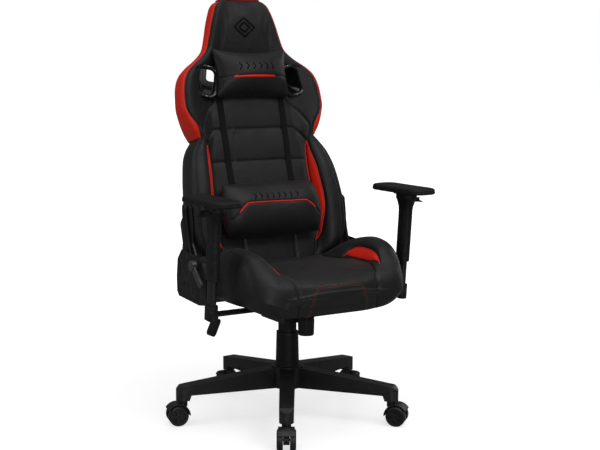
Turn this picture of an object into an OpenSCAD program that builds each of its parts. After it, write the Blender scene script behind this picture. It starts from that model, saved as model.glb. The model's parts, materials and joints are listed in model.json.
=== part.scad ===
// Gaming chair: five-leg caster base, gas lift, tilt mechanism, bucket seat,
// reclining winged back, two pillows and adjustable arms.
// +X is the sitter's left, -Y the front, +Z up. The origin is on the floor under the column.

/* [Base and casters] */
// Radius from the column's centre to the tip of a leg
base_r = 350; // [330:5:370]
// Width of a leg at the hub
leg_w = 47; // [42:1:54]
// Height of the top of the hub above the floor
hub_top_z = 158; // [156:1:160]
// Diameter of a caster wheel
wheel_d = 60; // [58:1:60]

/* [Lift column] */
// Outer diameter of the column tube
column_d = 50; // [48:1:50]
// Lowest diameter of the lower cover
cover_low_d = 72; // [68:1:76]

/* [Seat] */
// Half of the seat cushion's greatest width
seat_half_w = 268; // [262:1:270]
// Height of the flat middle of the seat
seat_top_z = 487; // [475:1:495]
// Height of the seat's side bolsters
seat_bolster_z = 552; // [535:1:558]

/* [Back] */
// Angle between the back and the vertical
back_lean = 15.7; // [14:0.1:17]
// Thickness of the middle of the back
back_thick = 80; // [72:1:86]
// How far the lower bolsters stand in front of the middle panel
back_bolster = 52; // [40:1:56]

/* [Arms] */
// Distance from the middle of the chair to an arm post
arm_x = 328; // [326:1:336]
// Forward lean of an arm post
arm_lean = 5; // [4:0.5:7]
// Length of an arm pad
pad_l = 245; // [220:5:260]
// Width of an arm pad
pad_w = 92; // [88:1:100]

/* [Hidden] */
$fn = 48;
side_names = ["left", "right"];
caster_count = 5;
first_leg_angle = -121;

// Leg, hub and caster heights
leg_tip_w = 42;
leg_tip_z = 118;
leg_under_z = 90;
hub_r = 50;
hub_under_z = 92;
boss_low_z = 74;
boss_in_r = base_r - 37;
stem_r = base_r - 21;
stem_d = 11;
stem_top_z = 112;
socket_d = 11.1;
caster_trail = 18;
axle_r = stem_r + caster_trail;
axle_d = 8;
axle_z = wheel_d / 2;
wheel_w = 17.5;
wheel_in = 10;
hood_in_r = wheel_d / 2 + 3.5;
hood_out_r = hood_in_r + 3;
hood_w = 47;
web_w = 18;

// Column
column_low_z = 80;
column_top_z = 250;
cylinder_d = 28;
cylinder_low_z = 140;
cylinder_top_z = 328;
rod_d = 10;
cover_up_d = 56;
cover_up_low_z = 200;
cover_low_top_z = 263;

// Tilt mechanism
mech_low_z = 302;
mech_front_z = 342;
pivot_y = -45;
pivot_z = 352;
pivot_d = 12;
knob_y = -110;
knob_low_z = 273;
knob_floor_t = 6;
lever_z = 338;
lever_d = 8;
carrier_x = -34;
carrier_pin_d = 6;
plate_low_z = 373;
frame_low_z = 376;
bar_t = 5.3;
rail = 20;
seat_bolt_x = 67;
seat_bolt_ys = [-125, 15];
rail_bolt_x = 185;
rail_bolt_ys = [-143, -119, 38];
bolt_d = 8;

// Recliner
recline_y = 78;
recline_z = 470;
shaft_d = 10;
recline_plate_x = 262;
recline_arm_x = 270.5;
cover_out_x = 296;
lever_hub_y = 26;
lever_hub_z = 488;

// Arm: heights in the leaning post's own frame start at its foot
arm_foot_y = -131;
arm_foot_z = 358;
arm_head_y = -158;
arm_head_z = 670;
pad_y = -141;
running = 0.2;

// Foot of the back's middle panel
back_foot_y = 87;
back_foot_z = 450;
slot_x = 152;
slot_w = 585;
slot_turn = 12;

// Shared shapes and frames

plastic = "#1d1d1f";
steel_black = "#242426";
leather = "#2b2b2c";

// Places children on caster number i, with +X pointing out along its leg
module on_leg(i) {
    rotate([0, 0, first_leg_angle + i * 360 / caster_count]) children();
}

// Places children in the back's own frame: +Z up the back, +Y through it to the rear
module in_back() {
    translate([0, back_foot_y, back_foot_z]) rotate([-back_lean, 0, 0]) children();
}

// Places children in an arm post's own frame, with side 1 the sitter's left
module on_post(side) {
    translate([side * arm_x, arm_foot_y, arm_foot_z]) rotate([arm_lean, 0, 0]) children();
}

// A bar with round ends, w across X and l along Y
module stadium(w, l) {
    hull_l = (l - w) / 2;
    square([w, 2 * hull_l], center = true);
    for (s = [-1, 1]) translate([0, s * hull_l]) circle(d = w);
}

// A rectangle with round corners
module round_rect(w, l, r) {
    square([w - 2 * r, l], center = true);
    square([w, l - 2 * r], center = true);
    for (x = [-1, 1], y = [-1, 1]) translate([x * (w / 2 - r), y * (l / 2 - r)]) circle(r = r);
}

// A flat piece drawn in (Y, Z) and extruded from x0 to x1
module side_plate(x0, x1) {
    translate([min(x0, x1), 0, 0]) rotate([90, 0, 90]) linear_extrude(abs(x1 - x0)) children();
}

// One pass of corner cutting round a closed outline
function cut_corners(p) = [
    for (i = [0 : len(p) - 1])
        let (a = p[i], b = p[(i + 1) % len(p)])
        each [a * 0.75 + b * 0.25, a * 0.25 + b * 0.75]
];

// Mirrors the half outline h, which starts and ends on x = 0, and cuts the whole one's corners
function whole(h) = cut_corners(concat(
    h,
    [for (i = [len(h) - 2 : -1 : 1]) [-h[i][0], h[i][1]]]
));

// Middle of a ring of points
function middle(ring) = [for (k = [0 : 2]) sum([for (p = ring) p[k]]) / len(ring)];
function sum(list, i = 0) = i == len(list) ? 0 : list[i] + sum(list, i + 1);

// Closed skin over a list of equally long rings of points, each end closed from its middle
module loft(rings) {
    n = len(rings[0]);
    m = len(rings);
    sides = [
        for (j = [0 : m - 2], i = [0 : n - 1])
            let (a = j * n + i, b = j * n + (i + 1) % n, c = a + n, d = b + n)
            each [[a, c, b], [b, c, d]]
    ];
    first_cap = [for (i = [0 : n - 1]) [m * n, i, (i + 1) % n]];
    last_cap = [for (i = [0 : n - 1]) [m * n + 1, (m - 1) * n + (i + 1) % n, (m - 1) * n + i]];
    polyhedron(
        points = concat([for (r = rings) each r], [middle(rings[0]), middle(rings[m - 1])]),
        faces = concat(sides, first_cap, last_cap),
        convexity = 6
    );
}

// Base

module leg_profile() {
    polygon([
        [0, hub_under_z], [0, hub_top_z - 2], [hub_r, hub_top_z - 4],
        [base_r - 52, leg_tip_z + 5], [base_r - 14, leg_tip_z], [base_r, leg_tip_z - 11],
        [base_r, boss_low_z], [boss_in_r, boss_low_z], [boss_in_r - 6, leg_under_z]
    ]);
}

module leg_plan(grow) {
    polygon([
        [0, -leg_w / 2 - grow], [stem_r, -leg_tip_w / 2 - grow],
        [stem_r, leg_tip_w / 2 + grow], [0, leg_w / 2 + grow]
    ]);
    translate([stem_r, 0]) circle(r = leg_tip_w / 2 + grow);
}

module leg() {
    channel_top = 12;
    difference() {
        intersection() {
            rotate([90, 0, 0]) linear_extrude(leg_w * 2, center = true) leg_profile();
            linear_extrude(hub_top_z) leg_plan(0);
        }
        // Open channel under the leg
        intersection() {
            rotate([90, 0, 0]) linear_extrude(leg_w * 2, center = true) polygon([
                [hub_r + 8, 0], [hub_r + 8, hub_top_z - 4 - channel_top],
                [boss_in_r - 8, leg_tip_z + 7 - channel_top], [boss_in_r - 8, 0]
            ]);
            linear_extrude(hub_top_z) leg_plan(-5);
        }
        // Socket for the caster's stem
        translate([stem_r, 0, boss_low_z - 1]) cylinder(d = socket_d, h = stem_top_z - boss_low_z + 2);
    }
}

module star_base() {
    color(plastic) difference() {
        union() {
            for (i = [0 : caster_count - 1]) on_leg(i) leg();
            translate([0, 0, hub_under_z]) cylinder(r = hub_r, h = hub_top_z - hub_under_z);
        }
        translate([0, 0, hub_under_z - 1]) cylinder(d = column_d, h = hub_top_z - hub_under_z + 2);
    }
}

module column_tube() {
    floor_t = 5;
    guide_l = 55;
    color("#3a3a3d") difference() {
        translate([0, 0, column_low_z]) cylinder(d = column_d, h = column_top_z - column_low_z);
        translate([0, 0, column_low_z + floor_t])
            cylinder(d = column_d - 6, h = column_top_z - column_low_z - floor_t - guide_l);
        translate([0, 0, column_top_z - guide_l - 1]) cylinder(d = cylinder_d + 0.1, h = guide_l + 2);
        translate([0, 0, column_low_z - 1]) cylinder(d = rod_d + 0.1, h = floor_t + 2);
    }
}

module thrust_bearing() {
    color("silver") translate([0, 0, column_low_z + 5]) rotate_extrude()
        translate([rod_d / 2 + 0.05, 0]) square([8, 6]);
}

module column_cover_lower() {
    color(plastic) difference() {
        translate([0, 0, hub_top_z])
            cylinder(d1 = cover_low_d, d2 = cover_low_d - 5, h = cover_low_top_z - hub_top_z);
        translate([0, 0, hub_top_z - 1]) cylinder(d = cover_up_d + 2, h = cover_low_top_z - hub_top_z + 2);
    }
}

// Casters

// Arc of the hood over the wheels, seen along the axle
module hood_arc(r_in, r_out) {
    difference() {
        circle(r = r_out);
        circle(r = r_in);
        translate([-r_out * 2, -r_out * 2]) square([r_out * 4, r_out * 2]);
        rotate([0, 0, -58]) translate([0, -r_out]) square(r_out * 4);
    }
}

module caster_housing(i) {
    neck_low_z = axle_z + hood_in_r;
    color(plastic) on_leg(i) {
        translate([stem_r, 0, boss_low_z - 2]) cylinder(d = stem_d, h = stem_top_z - boss_low_z + 2);
        difference() {
            translate([stem_r, 0, neck_low_z - 8]) cylinder(d = 27, h = boss_low_z - 1 - neck_low_z + 8);
            translate([axle_r, 0, axle_z]) rotate([90, 0, 0])
                cylinder(r = hood_in_r + 1, h = 2 * hood_w, center = true);
        }
        translate([axle_r, 0, axle_z]) rotate([90, 0, 0]) {
            linear_extrude(hood_w, center = true) hood_arc(hood_in_r, hood_out_r);
            linear_extrude(web_w, center = true) {
                circle(r = 15);
                hood_arc(8, hood_in_r + 1);
            }
            cylinder(d = axle_d, h = 2 * (wheel_in + wheel_w) - 4, center = true);
        }
    }
}

// One wheel with a five-spoked outer face; side 1 is on the leg's left
module caster_wheel(i, side) {
    spokes = 5;
    pocket_in = 8;
    pocket_out = 21;
    color("#161617") on_leg(i) translate([axle_r, side * wheel_in, axle_z]) rotate([-90 * side, 0, 0])
        difference() {
            union() {
                cylinder(d = wheel_d, h = wheel_w - 3);
                translate([0, 0, wheel_w - 3]) cylinder(d1 = wheel_d, d2 = wheel_d - 7, h = 3);
            }
            translate([0, 0, -1]) cylinder(d = axle_d + 0.1, h = wheel_w + 2);
            translate([0, 0, wheel_w - 5]) linear_extrude(6) difference() {
                circle(r = pocket_out);
                circle(r = pocket_in);
                for (k = [0 : spokes - 1]) rotate(k * 360 / spokes)
                    translate([0, -3]) square([pocket_out + 1, 6]);
            }
        }
}

// Gas lift

module piston_rod() {
    piston_low_z = 222;
    color("silver") {
        translate([0, 0, column_low_z - 4]) cylinder(d = rod_d + 6, h = 4);
        translate([0, 0, column_low_z - 4]) cylinder(d = rod_d, h = piston_low_z - column_low_z + 8);
        translate([0, 0, piston_low_z]) cylinder(d = cylinder_d - 4.4, h = 13);
    }
}

module gas_cylinder() {
    bore_d = cylinder_d - 4;
    end_t = 12;
    pin_seat_z = 310;
    color("#3a3a3d") difference() {
        translate([0, 0, cylinder_low_z]) cylinder(d = cylinder_d, h = cylinder_top_z - cylinder_low_z);
        translate([0, 0, cylinder_low_z + end_t])
            cylinder(d = bore_d, h = pin_seat_z - 8 - cylinder_low_z - end_t);
        translate([0, 0, cylinder_low_z - 1]) cylinder(d = rod_d + 0.1, h = end_t + 2);
        translate([0, 0, pin_seat_z]) cylinder(d = 8.1, h = cylinder_top_z - pin_seat_z + 1);
    }
}

module valve_pin() {
    color("silver") translate([0, 0, 317]) cylinder(d = 8, h = 16.3);
}

module column_cover_upper() {
    color(plastic) translate([0, 0, cover_up_low_z]) difference() {
        cylinder(d = cover_up_d, h = mech_low_z - cover_up_low_z);
        translate([0, 0, -1]) cylinder(d = column_d + 1.6, h = mech_low_z - cover_up_low_z + 2);
    }
}

// Tilt mechanism

module mechanism_housing() {
    half_w = 53;
    wall = 3;
    top_front_z = 366;
    rear_z = 326;
    front_y = -142;
    rear_y = 68;
    step_y = -80;
    color(steel_black) difference() {
        union() {
            difference() {
                side_plate(-half_w, half_w) polygon([
                    [front_y, mech_front_z], [step_y, mech_front_z], [step_y + 12, mech_low_z],
                    [rear_y, mech_low_z], [rear_y, rear_z], [pivot_y + 30, top_front_z - 6],
                    [pivot_y, top_front_z], [front_y, top_front_z - 6]
                ]);
                side_plate(-half_w + wall, half_w - wall) polygon([
                    [front_y + wall, mech_front_z + wall], [step_y + wall, mech_front_z + wall],
                    [step_y + 12 + wall, mech_low_z + wall], [rear_y - wall, mech_low_z + wall],
                    [rear_y - wall, rear_z + 60], [front_y + wall, rear_z + 60]
                ]);
            }
            // Socket for the gas cylinder
            translate([0, 0, mech_low_z]) cylinder(d = 46, h = cylinder_top_z - mech_low_z);
            // Lugs that carry the lever's trunnions
            for (s = [-1, 1]) translate([carrier_x - 8, s * 12.5 - 2, mech_low_z])
                cube([16, 4, lever_z - mech_low_z + 7]);
        }
        translate([0, 0, mech_low_z - 1]) cylinder(d = cylinder_d, h = cylinder_top_z - mech_low_z + 2);
        // Room for the carrier beside the socket
        translate([carrier_x - 13, -10.4, lever_z - 15]) cube([24, 20.8, 40]);
        translate([carrier_x, 0, lever_z]) rotate([90, 0, 0])
            cylinder(d = carrier_pin_d + 0.1, h = 40, center = true);
        // Slot in the wall for the lever's rod
        translate([-half_w - 1, -8, lever_z - 12]) cube([wall + 2, 16, 24]);
        // Hole for the tension bolt
        translate([0, knob_y, mech_front_z - 1]) cylinder(d = 22, h = wall + 2);
        translate([-half_w - 1, pivot_y, pivot_z]) rotate([0, 90, 0])
            cylinder(d = pivot_d, h = 2 * half_w + 2);
    }
}

module tilt_shaft() {
    color("silver") translate([-63, pivot_y, pivot_z]) rotate([0, 90, 0]) cylinder(d = pivot_d, h = 126);
}

// Helical spring between the knob's floor and the housing, round wire
module tilt_spring() {
    spring_low_z = knob_low_z + knob_floor_t + 0.2;
    wire_d = 4;
    coil_r = 15;
    turns = 6;
    steps = 20;
    sides = 8;
    rise = (mech_front_z - spring_low_z - wire_d) / (turns * steps);
    color("silver") translate([0, knob_y, spring_low_z + wire_d / 2]) loft([
        for (k = [0 : turns * steps])
            let (a = k * 360 / steps)
            [for (j = [0 : sides - 1])
                let (b = -j * 360 / sides, r = coil_r + wire_d / 2 * 0.95 * cos(b))
                [r * cos(a), r * sin(a), k * rise + wire_d / 2 * 0.95 * sin(b)]]
    ]);
}

module lever_carrier() {
    color(steel_black) translate([carrier_x, 0, lever_z]) difference() {
        union() {
            translate([-11, -10, -8]) cube([21, 20, 16]);
            rotate([90, 0, 0]) cylinder(d = carrier_pin_d, h = 28, center = true);
        }
        rotate([0, 90, 0]) cylinder(d = lever_d + 0.1, h = 40, center = true);
    }
}

// Height lever: straight rod that bends down into its paddle
lever_bend_x = -238;
paddle_turn = 24;
paddle_l = 56;

module height_lever() {
    rod_in_x = 12;
    color("#2c2c2f") {
        translate([lever_bend_x, 0, lever_z]) rotate([0, 90, 0])
            cylinder(d = lever_d, h = rod_in_x - lever_bend_x);
        translate([lever_bend_x, 0, lever_z]) sphere(d = lever_d + 0.6);
        translate([lever_bend_x, 0, lever_z]) rotate([0, 180 + paddle_turn, 0])
            cylinder(d = lever_d - 1, h = 44);
    }
}

module lever_paddle() {
    color(plastic) translate([lever_bend_x, 0, lever_z]) rotate([0, 180 + paddle_turn, 0])
        difference() {
            translate([0, 0, 9]) rotate([0, 90, 0]) translate([0, 0, -7])
                linear_extrude(14) translate([-paddle_l / 2, 0]) round_rect(paddle_l, 36, 12);
            cylinder(d = lever_d - 0.9, h = 45);
        }
}

module tension_bolt() {
    color("silver") {
        translate([0, knob_y, knob_low_z + 1]) cylinder(d = 10, h = plate_low_z - knob_low_z - 1);
        translate([0, knob_y, knob_low_z + 0.2]) cylinder(d = 20, h = 3);
    }
}

// Ribbed cup, turned about the tension bolt
module tension_knob() {
    ribs = 20;
    knob_h = 52;
    color(plastic) translate([0, knob_y, knob_low_z]) difference() {
        union() {
            cylinder(d1 = 45, d2 = 48, h = knob_h);
            for (k = [0 : ribs - 1]) rotate(k * 360 / ribs) translate([22, 0, 2])
                rotate([0, 1.6, 0]) cylinder(d = 3.6, h = knob_h - 5);
        }
        translate([0, 0, knob_floor_t]) cylinder(d = 40, h = knob_h);
        translate([0, 0, -1]) cylinder(d = 10.1, h = 11);
        translate([0, 0, -1]) cylinder(d = 21, h = 4.4);
    }
}

// Seat

module seat_plate() {
    half_x = 95;
    flange_x = 55;
    flange_t = 4;
    color(steel_black) difference() {
        union() {
            translate([-half_x, -148, plate_low_z]) cube([2 * half_x, 235, frame_low_z - plate_low_z]);
            for (s = [-1, 1]) side_plate(s * flange_x, s * (flange_x + flange_t)) polygon([
                [-140, plate_low_z], [-20, plate_low_z], [pivot_y + 13, pivot_z - 11],
                [pivot_y - 13, pivot_z - 11]
            ]);
        }
        translate([-70, pivot_y, pivot_z]) rotate([0, 90, 0]) cylinder(d = pivot_d + 0.1, h = 140);
        for (s = [-1, 1], y = seat_bolt_ys) translate([s * seat_bolt_x, y, plate_low_z - 1])
            cylinder(d = bolt_d + 0.4, h = 6);
    }
}

module seat_frame() {
    front_y = -235;
    rear_y = 48;
    out_x = 195;
    color(steel_black) difference() {
        union() {
            for (s = [-1, 1]) {
                translate([s > 0 ? out_x - rail : -out_x, front_y, frame_low_z])
                    cube([rail, rear_y - front_y, rail]);
                translate([s * seat_bolt_x - rail / 2, front_y, frame_low_z])
                    cube([rail, rear_y - front_y, rail]);
            }
            for (y = [front_y, rear_y - rail]) translate([-out_x, y, frame_low_z])
                cube([2 * out_x, rail, rail]);
        }
        for (s = [-1, 1], y = seat_bolt_ys) translate([s * seat_bolt_x, y, frame_low_z - 1])
            cylinder(d = bolt_d, h = 15);
        for (s = [-1, 1], y = rail_bolt_ys) translate([s * rail_bolt_x, y, frame_low_z - 1])
            cylinder(d = bolt_d, h = 15);
    }
}

// Bolt that reaches up to the given height past the underside it is drawn against
module hex_bolt(shank_l) {
    cylinder(d = bolt_d, h = shank_l);
    translate([0, 0, -5]) cylinder(d = 13, h = 5, $fn = 6);
}

module seat_bolts() {
    color("silver") for (s = [-1, 1]) {
        for (y = seat_bolt_ys) translate([s * seat_bolt_x, y, plate_low_z]) hex_bolt(14);
        for (y = rail_bolt_ys) translate([s * rail_bolt_x, y, frame_low_z - bar_t]) hex_bolt(16);
    }
}

// Seat cushion: cross-sections at stations from front to rear
// columns: y, half width of the bottom, half width of the side, bottom z, top z, bolster z
seat_stations = [
    [-290, 150, 178, 396, 436, 430],
    [-286, 162, 205, 380, 452, 448],
    [-276, 176, 224, 368, 466, 466],
    [-258, 192, 238, 365, 478, 486],
    [-232, 214, 250, 368, seat_top_z - 3, 515],
    [-200, 228, 258, 375, seat_top_z, 538],
    [-160, 240, 265, 380, seat_top_z, seat_bolster_z - 3],
    [-120, 247, seat_half_w, 380, seat_top_z, seat_bolster_z],
    [-70, 248, seat_half_w - 4, 380, seat_top_z - 4, seat_bolster_z - 7],
    [-20, 244, seat_half_w - 11, 380, seat_top_z - 8, seat_bolster_z - 22],
    [25, 236, seat_half_w - 18, 380, seat_top_z - 9, seat_bolster_z - 45],
    [50, 228, seat_half_w - 26, 384, seat_top_z - 9, seat_bolster_z - 66],
    [60, 218, seat_half_w - 36, 392, seat_top_z - 18, seat_top_z - 18]
];

function seat_ring(s) = let (
    y = s[0], bottom = s[1], side = s[2], low = s[3], top = s[4], crest = s[5]
) [for (p = whole([
    [0, top], [side - 118, top], [side - 96, top], [side - 62, crest], [side - 12, crest - 1],
    [side + 7, crest - 42], [side + 7, low + 45], [bottom, low], [0, low]
])) [p[0], y, p[1]]];

module seat_cushion() {
    clear = 0.4;
    color(leather) difference() {
        loft([for (s = seat_stations) seat_ring(s)]);
        translate([-195 - clear, -235 - clear, 300])
            cube([390 + 2 * clear, 283 + 2 * clear, 96 + clear]);
    }
}

// Arm fittings

// Flat bar under the seat with the upright tube that its sleeve runs on
module arm_bracket(side) {
    bar_in_x = 125;
    bar_l = arm_x - bar_in_x;
    tube_w = 20;
    tube_l = 36;
    color(steel_black) {
        difference() {
            translate([side > 0 ? bar_in_x : -arm_x, arm_foot_y - 25, frame_low_z - bar_t])
                cube([bar_l, 50, bar_t]);
            for (y = rail_bolt_ys) translate([side * rail_bolt_x, y, frame_low_z - 10])
                cylinder(d = bolt_d + 0.4, h = 20);
        }
        on_post(side) translate([0, 0, 4]) difference() {
            linear_extrude(226) stadium(tube_w, tube_l);
            translate([0, 0, 30]) linear_extrude(226) stadium(tube_w - 5, tube_l - 5);
        }
    }
}

module arm_foot_caps() {
    color(plastic) for (side = [-1, 1]) difference() {
        on_post(side) difference() {
            linear_extrude(44) stadium(30, 48);
            translate([0, 0, 4]) linear_extrude(50) stadium(20, 36);
        }
        // Notch that the flat bar comes in through
        translate([side > 0 ? arm_x - 60 : -arm_x, arm_foot_y - 25, frame_low_z - bar_t])
            cube([60, 50, bar_t]);
    }
}

// Level section of a sleeve's flare, at height z from the foot of its head
function flare_ring(side, z, wide, long) = [for (k = [0 : 23]) let (a = k * 15 + 7.5) [
    side * arm_x + wide / 2 * cos(a),
    arm_head_y - z * tan(arm_lean) + wide / 2 * sin(a) + (long - wide) / 2 * (a < 180 ? 1 : -1),
    arm_head_z + z
]];

module arm_sleeve(side) {
    low = 118;
    high = 304;
    head_h = 11;
    color(plastic) difference() {
        union() {
            on_post(side) translate([0, 0, low]) linear_extrude(high - low) stadium(32, 49);
            translate([side * arm_x, arm_head_y, arm_head_z]) linear_extrude(head_h) stadium(46, 76);
            // Flare from the sleeve to the head
            loft([for (t = [0, 0.35, 0.7, 1]) flare_ring(side, 42 * (t - 1), 31.6 + 14 * t * t, 48.6 + 27 * t * t)]);
            // Ears for the release trigger
            for (y = [-16.5, 16.5]) translate([side * (arm_x + 28) - 8, arm_head_y + y - 2, arm_head_z - 12])
                cube([16, 4, 14]);
        }
        on_post(side) translate([0, 0, low - 1])
            linear_extrude(high - low - 21) stadium(20 + 2 * running, 36 + 2 * running);
        translate([side * arm_x, arm_head_y, arm_head_z + 2]) cylinder(d = 16.1, h = head_h);
        translate([side * (arm_x + 29), arm_head_y, arm_head_z - 5]) rotate([90, 0, 0])
            cylinder(d = 4.1, h = 60, center = true);
        // Room for the trigger's barrel
        translate([side * (arm_x + 29) - 6, arm_head_y - 14.4, arm_head_z - 11]) cube([12, 28.8, 12]);
    }
}

module arm_trigger(side) {
    color(plastic) translate([side * (arm_x + 29), arm_head_y, arm_head_z - 5]) {
        rotate([90, 0, 0]) cylinder(d = 4, h = 36, center = true);
        rotate([90, 0, 0]) cylinder(d = 8, h = 28, center = true);
        rotate([0, side * 22, 0]) translate([side > 0 ? 2 : -24, -13, -2]) cube([22, 26, 4]);
    }
}

module arm_swivel(side) {
    top_z = arm_head_z + 11.3;
    color("#333336") translate([side * arm_x, arm_head_y, 0]) {
        translate([0, 0, top_z]) linear_extrude(4.5) round_rect(46, 84, 12);
        translate([0, 0, top_z - 8]) cylinder(d = 16, h = 9);
        translate([-8, -40, top_z + 4]) cube([16, 80, 4]);
    }
}

module arm_slide(side) {
    low_z = arm_head_z + 16.1;
    color("#333336") translate([side * arm_x, pad_y, low_z]) {
        difference() {
            linear_extrude(5.5) round_rect(52, 154, 14);
            translate([-8.2, -90, -1]) cube([16.4, 180, 4.6]);
        }
        translate([-22, -10, 5]) cube([44, 20, 3.4]);
    }
}

module arm_pad(side) {
    low_z = arm_head_z + 16.4;
    color(plastic) translate([side * arm_x, pad_y, low_z]) difference() {
        union() {
            linear_extrude(14) round_rect(pad_w, pad_l, 34);
            linear_extrude(17.5) round_rect(pad_w - 6, pad_l - 6, 31);
            linear_extrude(20.6) round_rect(pad_w - 14, pad_l - 14, 27);
        }
        // Pocket over the slide, and the groove for its key
        translate([-37, -77.4, -1]) cube([74, 154.8, 6.5]);
        translate([-33, -10.2, 0]) cube([66, 20.4, 8.4]);
    }
}

// Recliner

module recliner_plates() {
    flange_in_x = 170;
    color(steel_black) for (s = [-1, 1]) difference() {
        union() {
            side_plate(s * recline_plate_x, s * (recline_plate_x + 5)) polygon([
                [26, frame_low_z - bar_t], [140, frame_low_z - bar_t], [140, 400], [112, 488],
                [94, 504], [62, 504], [44, 488], [26, 420]
            ]);
            translate([s > 0 ? flange_in_x : -recline_plate_x - 5, 26, frame_low_z - bar_t])
                cube([recline_plate_x + 5 - flange_in_x, 50, bar_t]);
        }
        for (y = rail_bolt_ys) translate([s * rail_bolt_x, y, frame_low_z - 10])
            cylinder(d = bolt_d + 0.4, h = 20);
        translate([0, recline_y, recline_z]) rotate([0, 90, 0])
            cylinder(d = shaft_d + 0.1, h = 2 * recline_plate_x + 20, center = true);
    }
}

module recliner_cover_outline() {
    polygon([
        [-36, 378], [10, 371], [146, 378], [158, 392], [160, 436], [152, 492], [124, 523],
        [26, 516], [-14, 500], [-36, 470]
    ]);
}

module recliner_covers() {
    rim = 4;
    color(plastic) for (s = [-1, 1]) difference() {
        union() {
            side_plate(s * (cover_out_x - 5), s * cover_out_x) recliner_cover_outline();
            side_plate(s * (recline_plate_x + 5), s * cover_out_x) difference() {
                recliner_cover_outline();
                polygon([
                    [-36 + rim, 378 + rim], [10, 371 + rim], [146 - rim, 378 + rim], [158 - rim, 392 + rim],
                    [160 - rim, 426], [240, 426], [240, 600], [20, 600], [20, 510],
                    [-14 + rim, 500 - rim], [-36 + rim, 470]
                ]);
            }
        }
        translate([0, lever_hub_y, lever_hub_z]) rotate([0, -90, 0])
            cylinder(d = 14.1, h = cover_out_x + 1);
    }
}

// Sprung lever on the sitter's right that frees the back
module recline_lever() {
    hub_x = -cover_out_x - 0.3;
    color("#3c3c40") translate([hub_x, lever_hub_y, lever_hub_z]) {
        rotate([0, -90, 0]) cylinder(d = 32, h = 18);
        rotate([0, 90, 0]) cylinder(d = 14, h = 4.8);
        translate([-12, 0, 0]) rotate([90 + 42, 0, 0]) rotate([0, -90, 0]) translate([0, 0, -3])
            linear_extrude(7) difference() {
                translate([41, 0]) round_rect(82, 19, 9);
                circle(d = 28);
            }
    }
}

module recliner_arms() {
    color(steel_black) for (s = [-1, 1]) difference() {
        union() {
            translate([0, recline_y, recline_z]) rotate([0, 90, 0])
                translate([0, 0, s > 0 ? recline_plate_x + 5.3 : -recline_arm_x - 5])
                    cylinder(r = 23, h = recline_arm_x - recline_plate_x - 0.3);
            in_back() side_plate(s * recline_arm_x, s * (recline_arm_x + 5)) polygon([
                [-34, 8], [-36, 42], [-20, 92], [-32, 144], [-38, 196], [-30, 206], [-4, 206],
                [6, 190], [40, 166], [45, 158], [45, 82], [30, 30], [2, -2], [-22, -4]
            ]);
        }
        translate([0, recline_y, recline_z]) rotate([0, 90, 0])
            cylinder(d = shaft_d, h = 2 * recline_arm_x + 20, center = true);
    }
}

module recliner_shaft() {
    half = recline_arm_x + 6;
    color("silver") translate([-half, recline_y, recline_z]) rotate([0, 90, 0])
        cylinder(d = shaft_d, h = 2 * half);
}

module recliner_arm_covers() {
    color(plastic) for (s = [-1, 1]) in_back()
        side_plate(s * (recline_arm_x + 5), s * (recline_arm_x + 14)) polygon([
            [-40, 46], [-24, 92], [-40, 144], [-48, 200], [-38, 214], [-10, 216], [0, 206],
            [8, 160], [20, 108], [38, 84], [36, 48]
        ]);
}

// Back

// Outline of the back by height up it
// columns: w, half width, crest x, crest forward, inner foot x, side rear, middle front, middle rear
back_stations = [
    [0, 196, 176, 2, 140, 40, 2, 58],
    [10, 214, 190, 5, 150, 50, 0, 68],
    [25, 226, 196, 7, 156, 55, 0, back_thick - 5],
    [40, 236, 200, 26, 160, 60, 0, back_thick - 2],
    [75, 252, 204, 42, 164, 60, 0, back_thick],
    [131, 267, 204, back_bolster - 4, 166, 56, 0, back_thick],
    [193, 263, 200, back_bolster, 167, 52, 0, back_thick],
    [245, 257, 196, back_bolster - 1, 166, 50, 0, back_thick],
    [300, 250, 192, back_bolster - 6, 164, 54, 0, back_thick],
    [354, 238, 188, back_bolster - 18, 164, 60, 0, back_thick],
    [385, 222, 184, back_bolster - 26, 162, 64, 0, back_thick],
    [406, 209, 180, back_bolster - 28, 156, 64, 0, back_thick],
    [440, 223, 192, back_bolster - 22, 154, 52, 0, back_thick - 2],
    [475, 237, 204, back_bolster - 18, 152, 40, 0, back_thick - 6],
    [512, 246, 212, back_bolster - 17, 152, 30, 0, back_thick - 12],
    [560, 243, 208, back_bolster - 17, 148, 27, 0, back_thick - 17],
    [590, 235, 200, back_bolster - 18, 144, 26, 0, back_thick - 20],
    [610, 224, 190, back_bolster - 19, 138, 26, 0, back_thick - 22],
    [634, 197, 166, back_bolster - 23, 122, 26, 2, back_thick - 25],
    [660, 164, 134, back_bolster - 28, 104, 27, 5, back_thick - 28],
    [691, 140, 116, 22, 92, 28, 10, back_thick - 32],
    [730, 128, 106, 26, 84, 27, 17, back_thick - 37],
    [770, 117, 96, 31, 74, 26, 24, back_thick - 42],
    [805, 105, 84, 34, 62, 24, 28, back_thick - 48],
    [832, 90, 70, 33, 50, 20, 29, back_thick - 54],
    [847, 70, 52, 28, 36, 12, 24, back_thick - 62]
];

function back_value(w, column) = lookup(w, [for (s = back_stations) [s[0], s[column]]]);

function back_ring(s) = let (
    w = s[0], half = s[1], crest = s[2], forward = s[3], foot = s[4],
    side_rear = s[5], front = s[6], rear = s[7]
) [for (p = whole([
    [0, -front], [foot - 24, -front], [foot, -front], [crest, -forward],
    [half - 14, -forward], [half, 12 - forward], [half, side_rear],
    [half - 40, rear], [0, rear]
])) [p[0], p[1], w]];

// Sections cut across the bezel, grown by the given amount
module bezel_tube(grow) {
    round_rect(48 + 2 * grow, 78 + 2 * grow, 15 + grow);
}

module at_slot(side) {
    translate([side * slot_x, 0, slot_w]) rotate([-90, 0, 0]) rotate([0, 0, side * slot_turn]) children();
}

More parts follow.
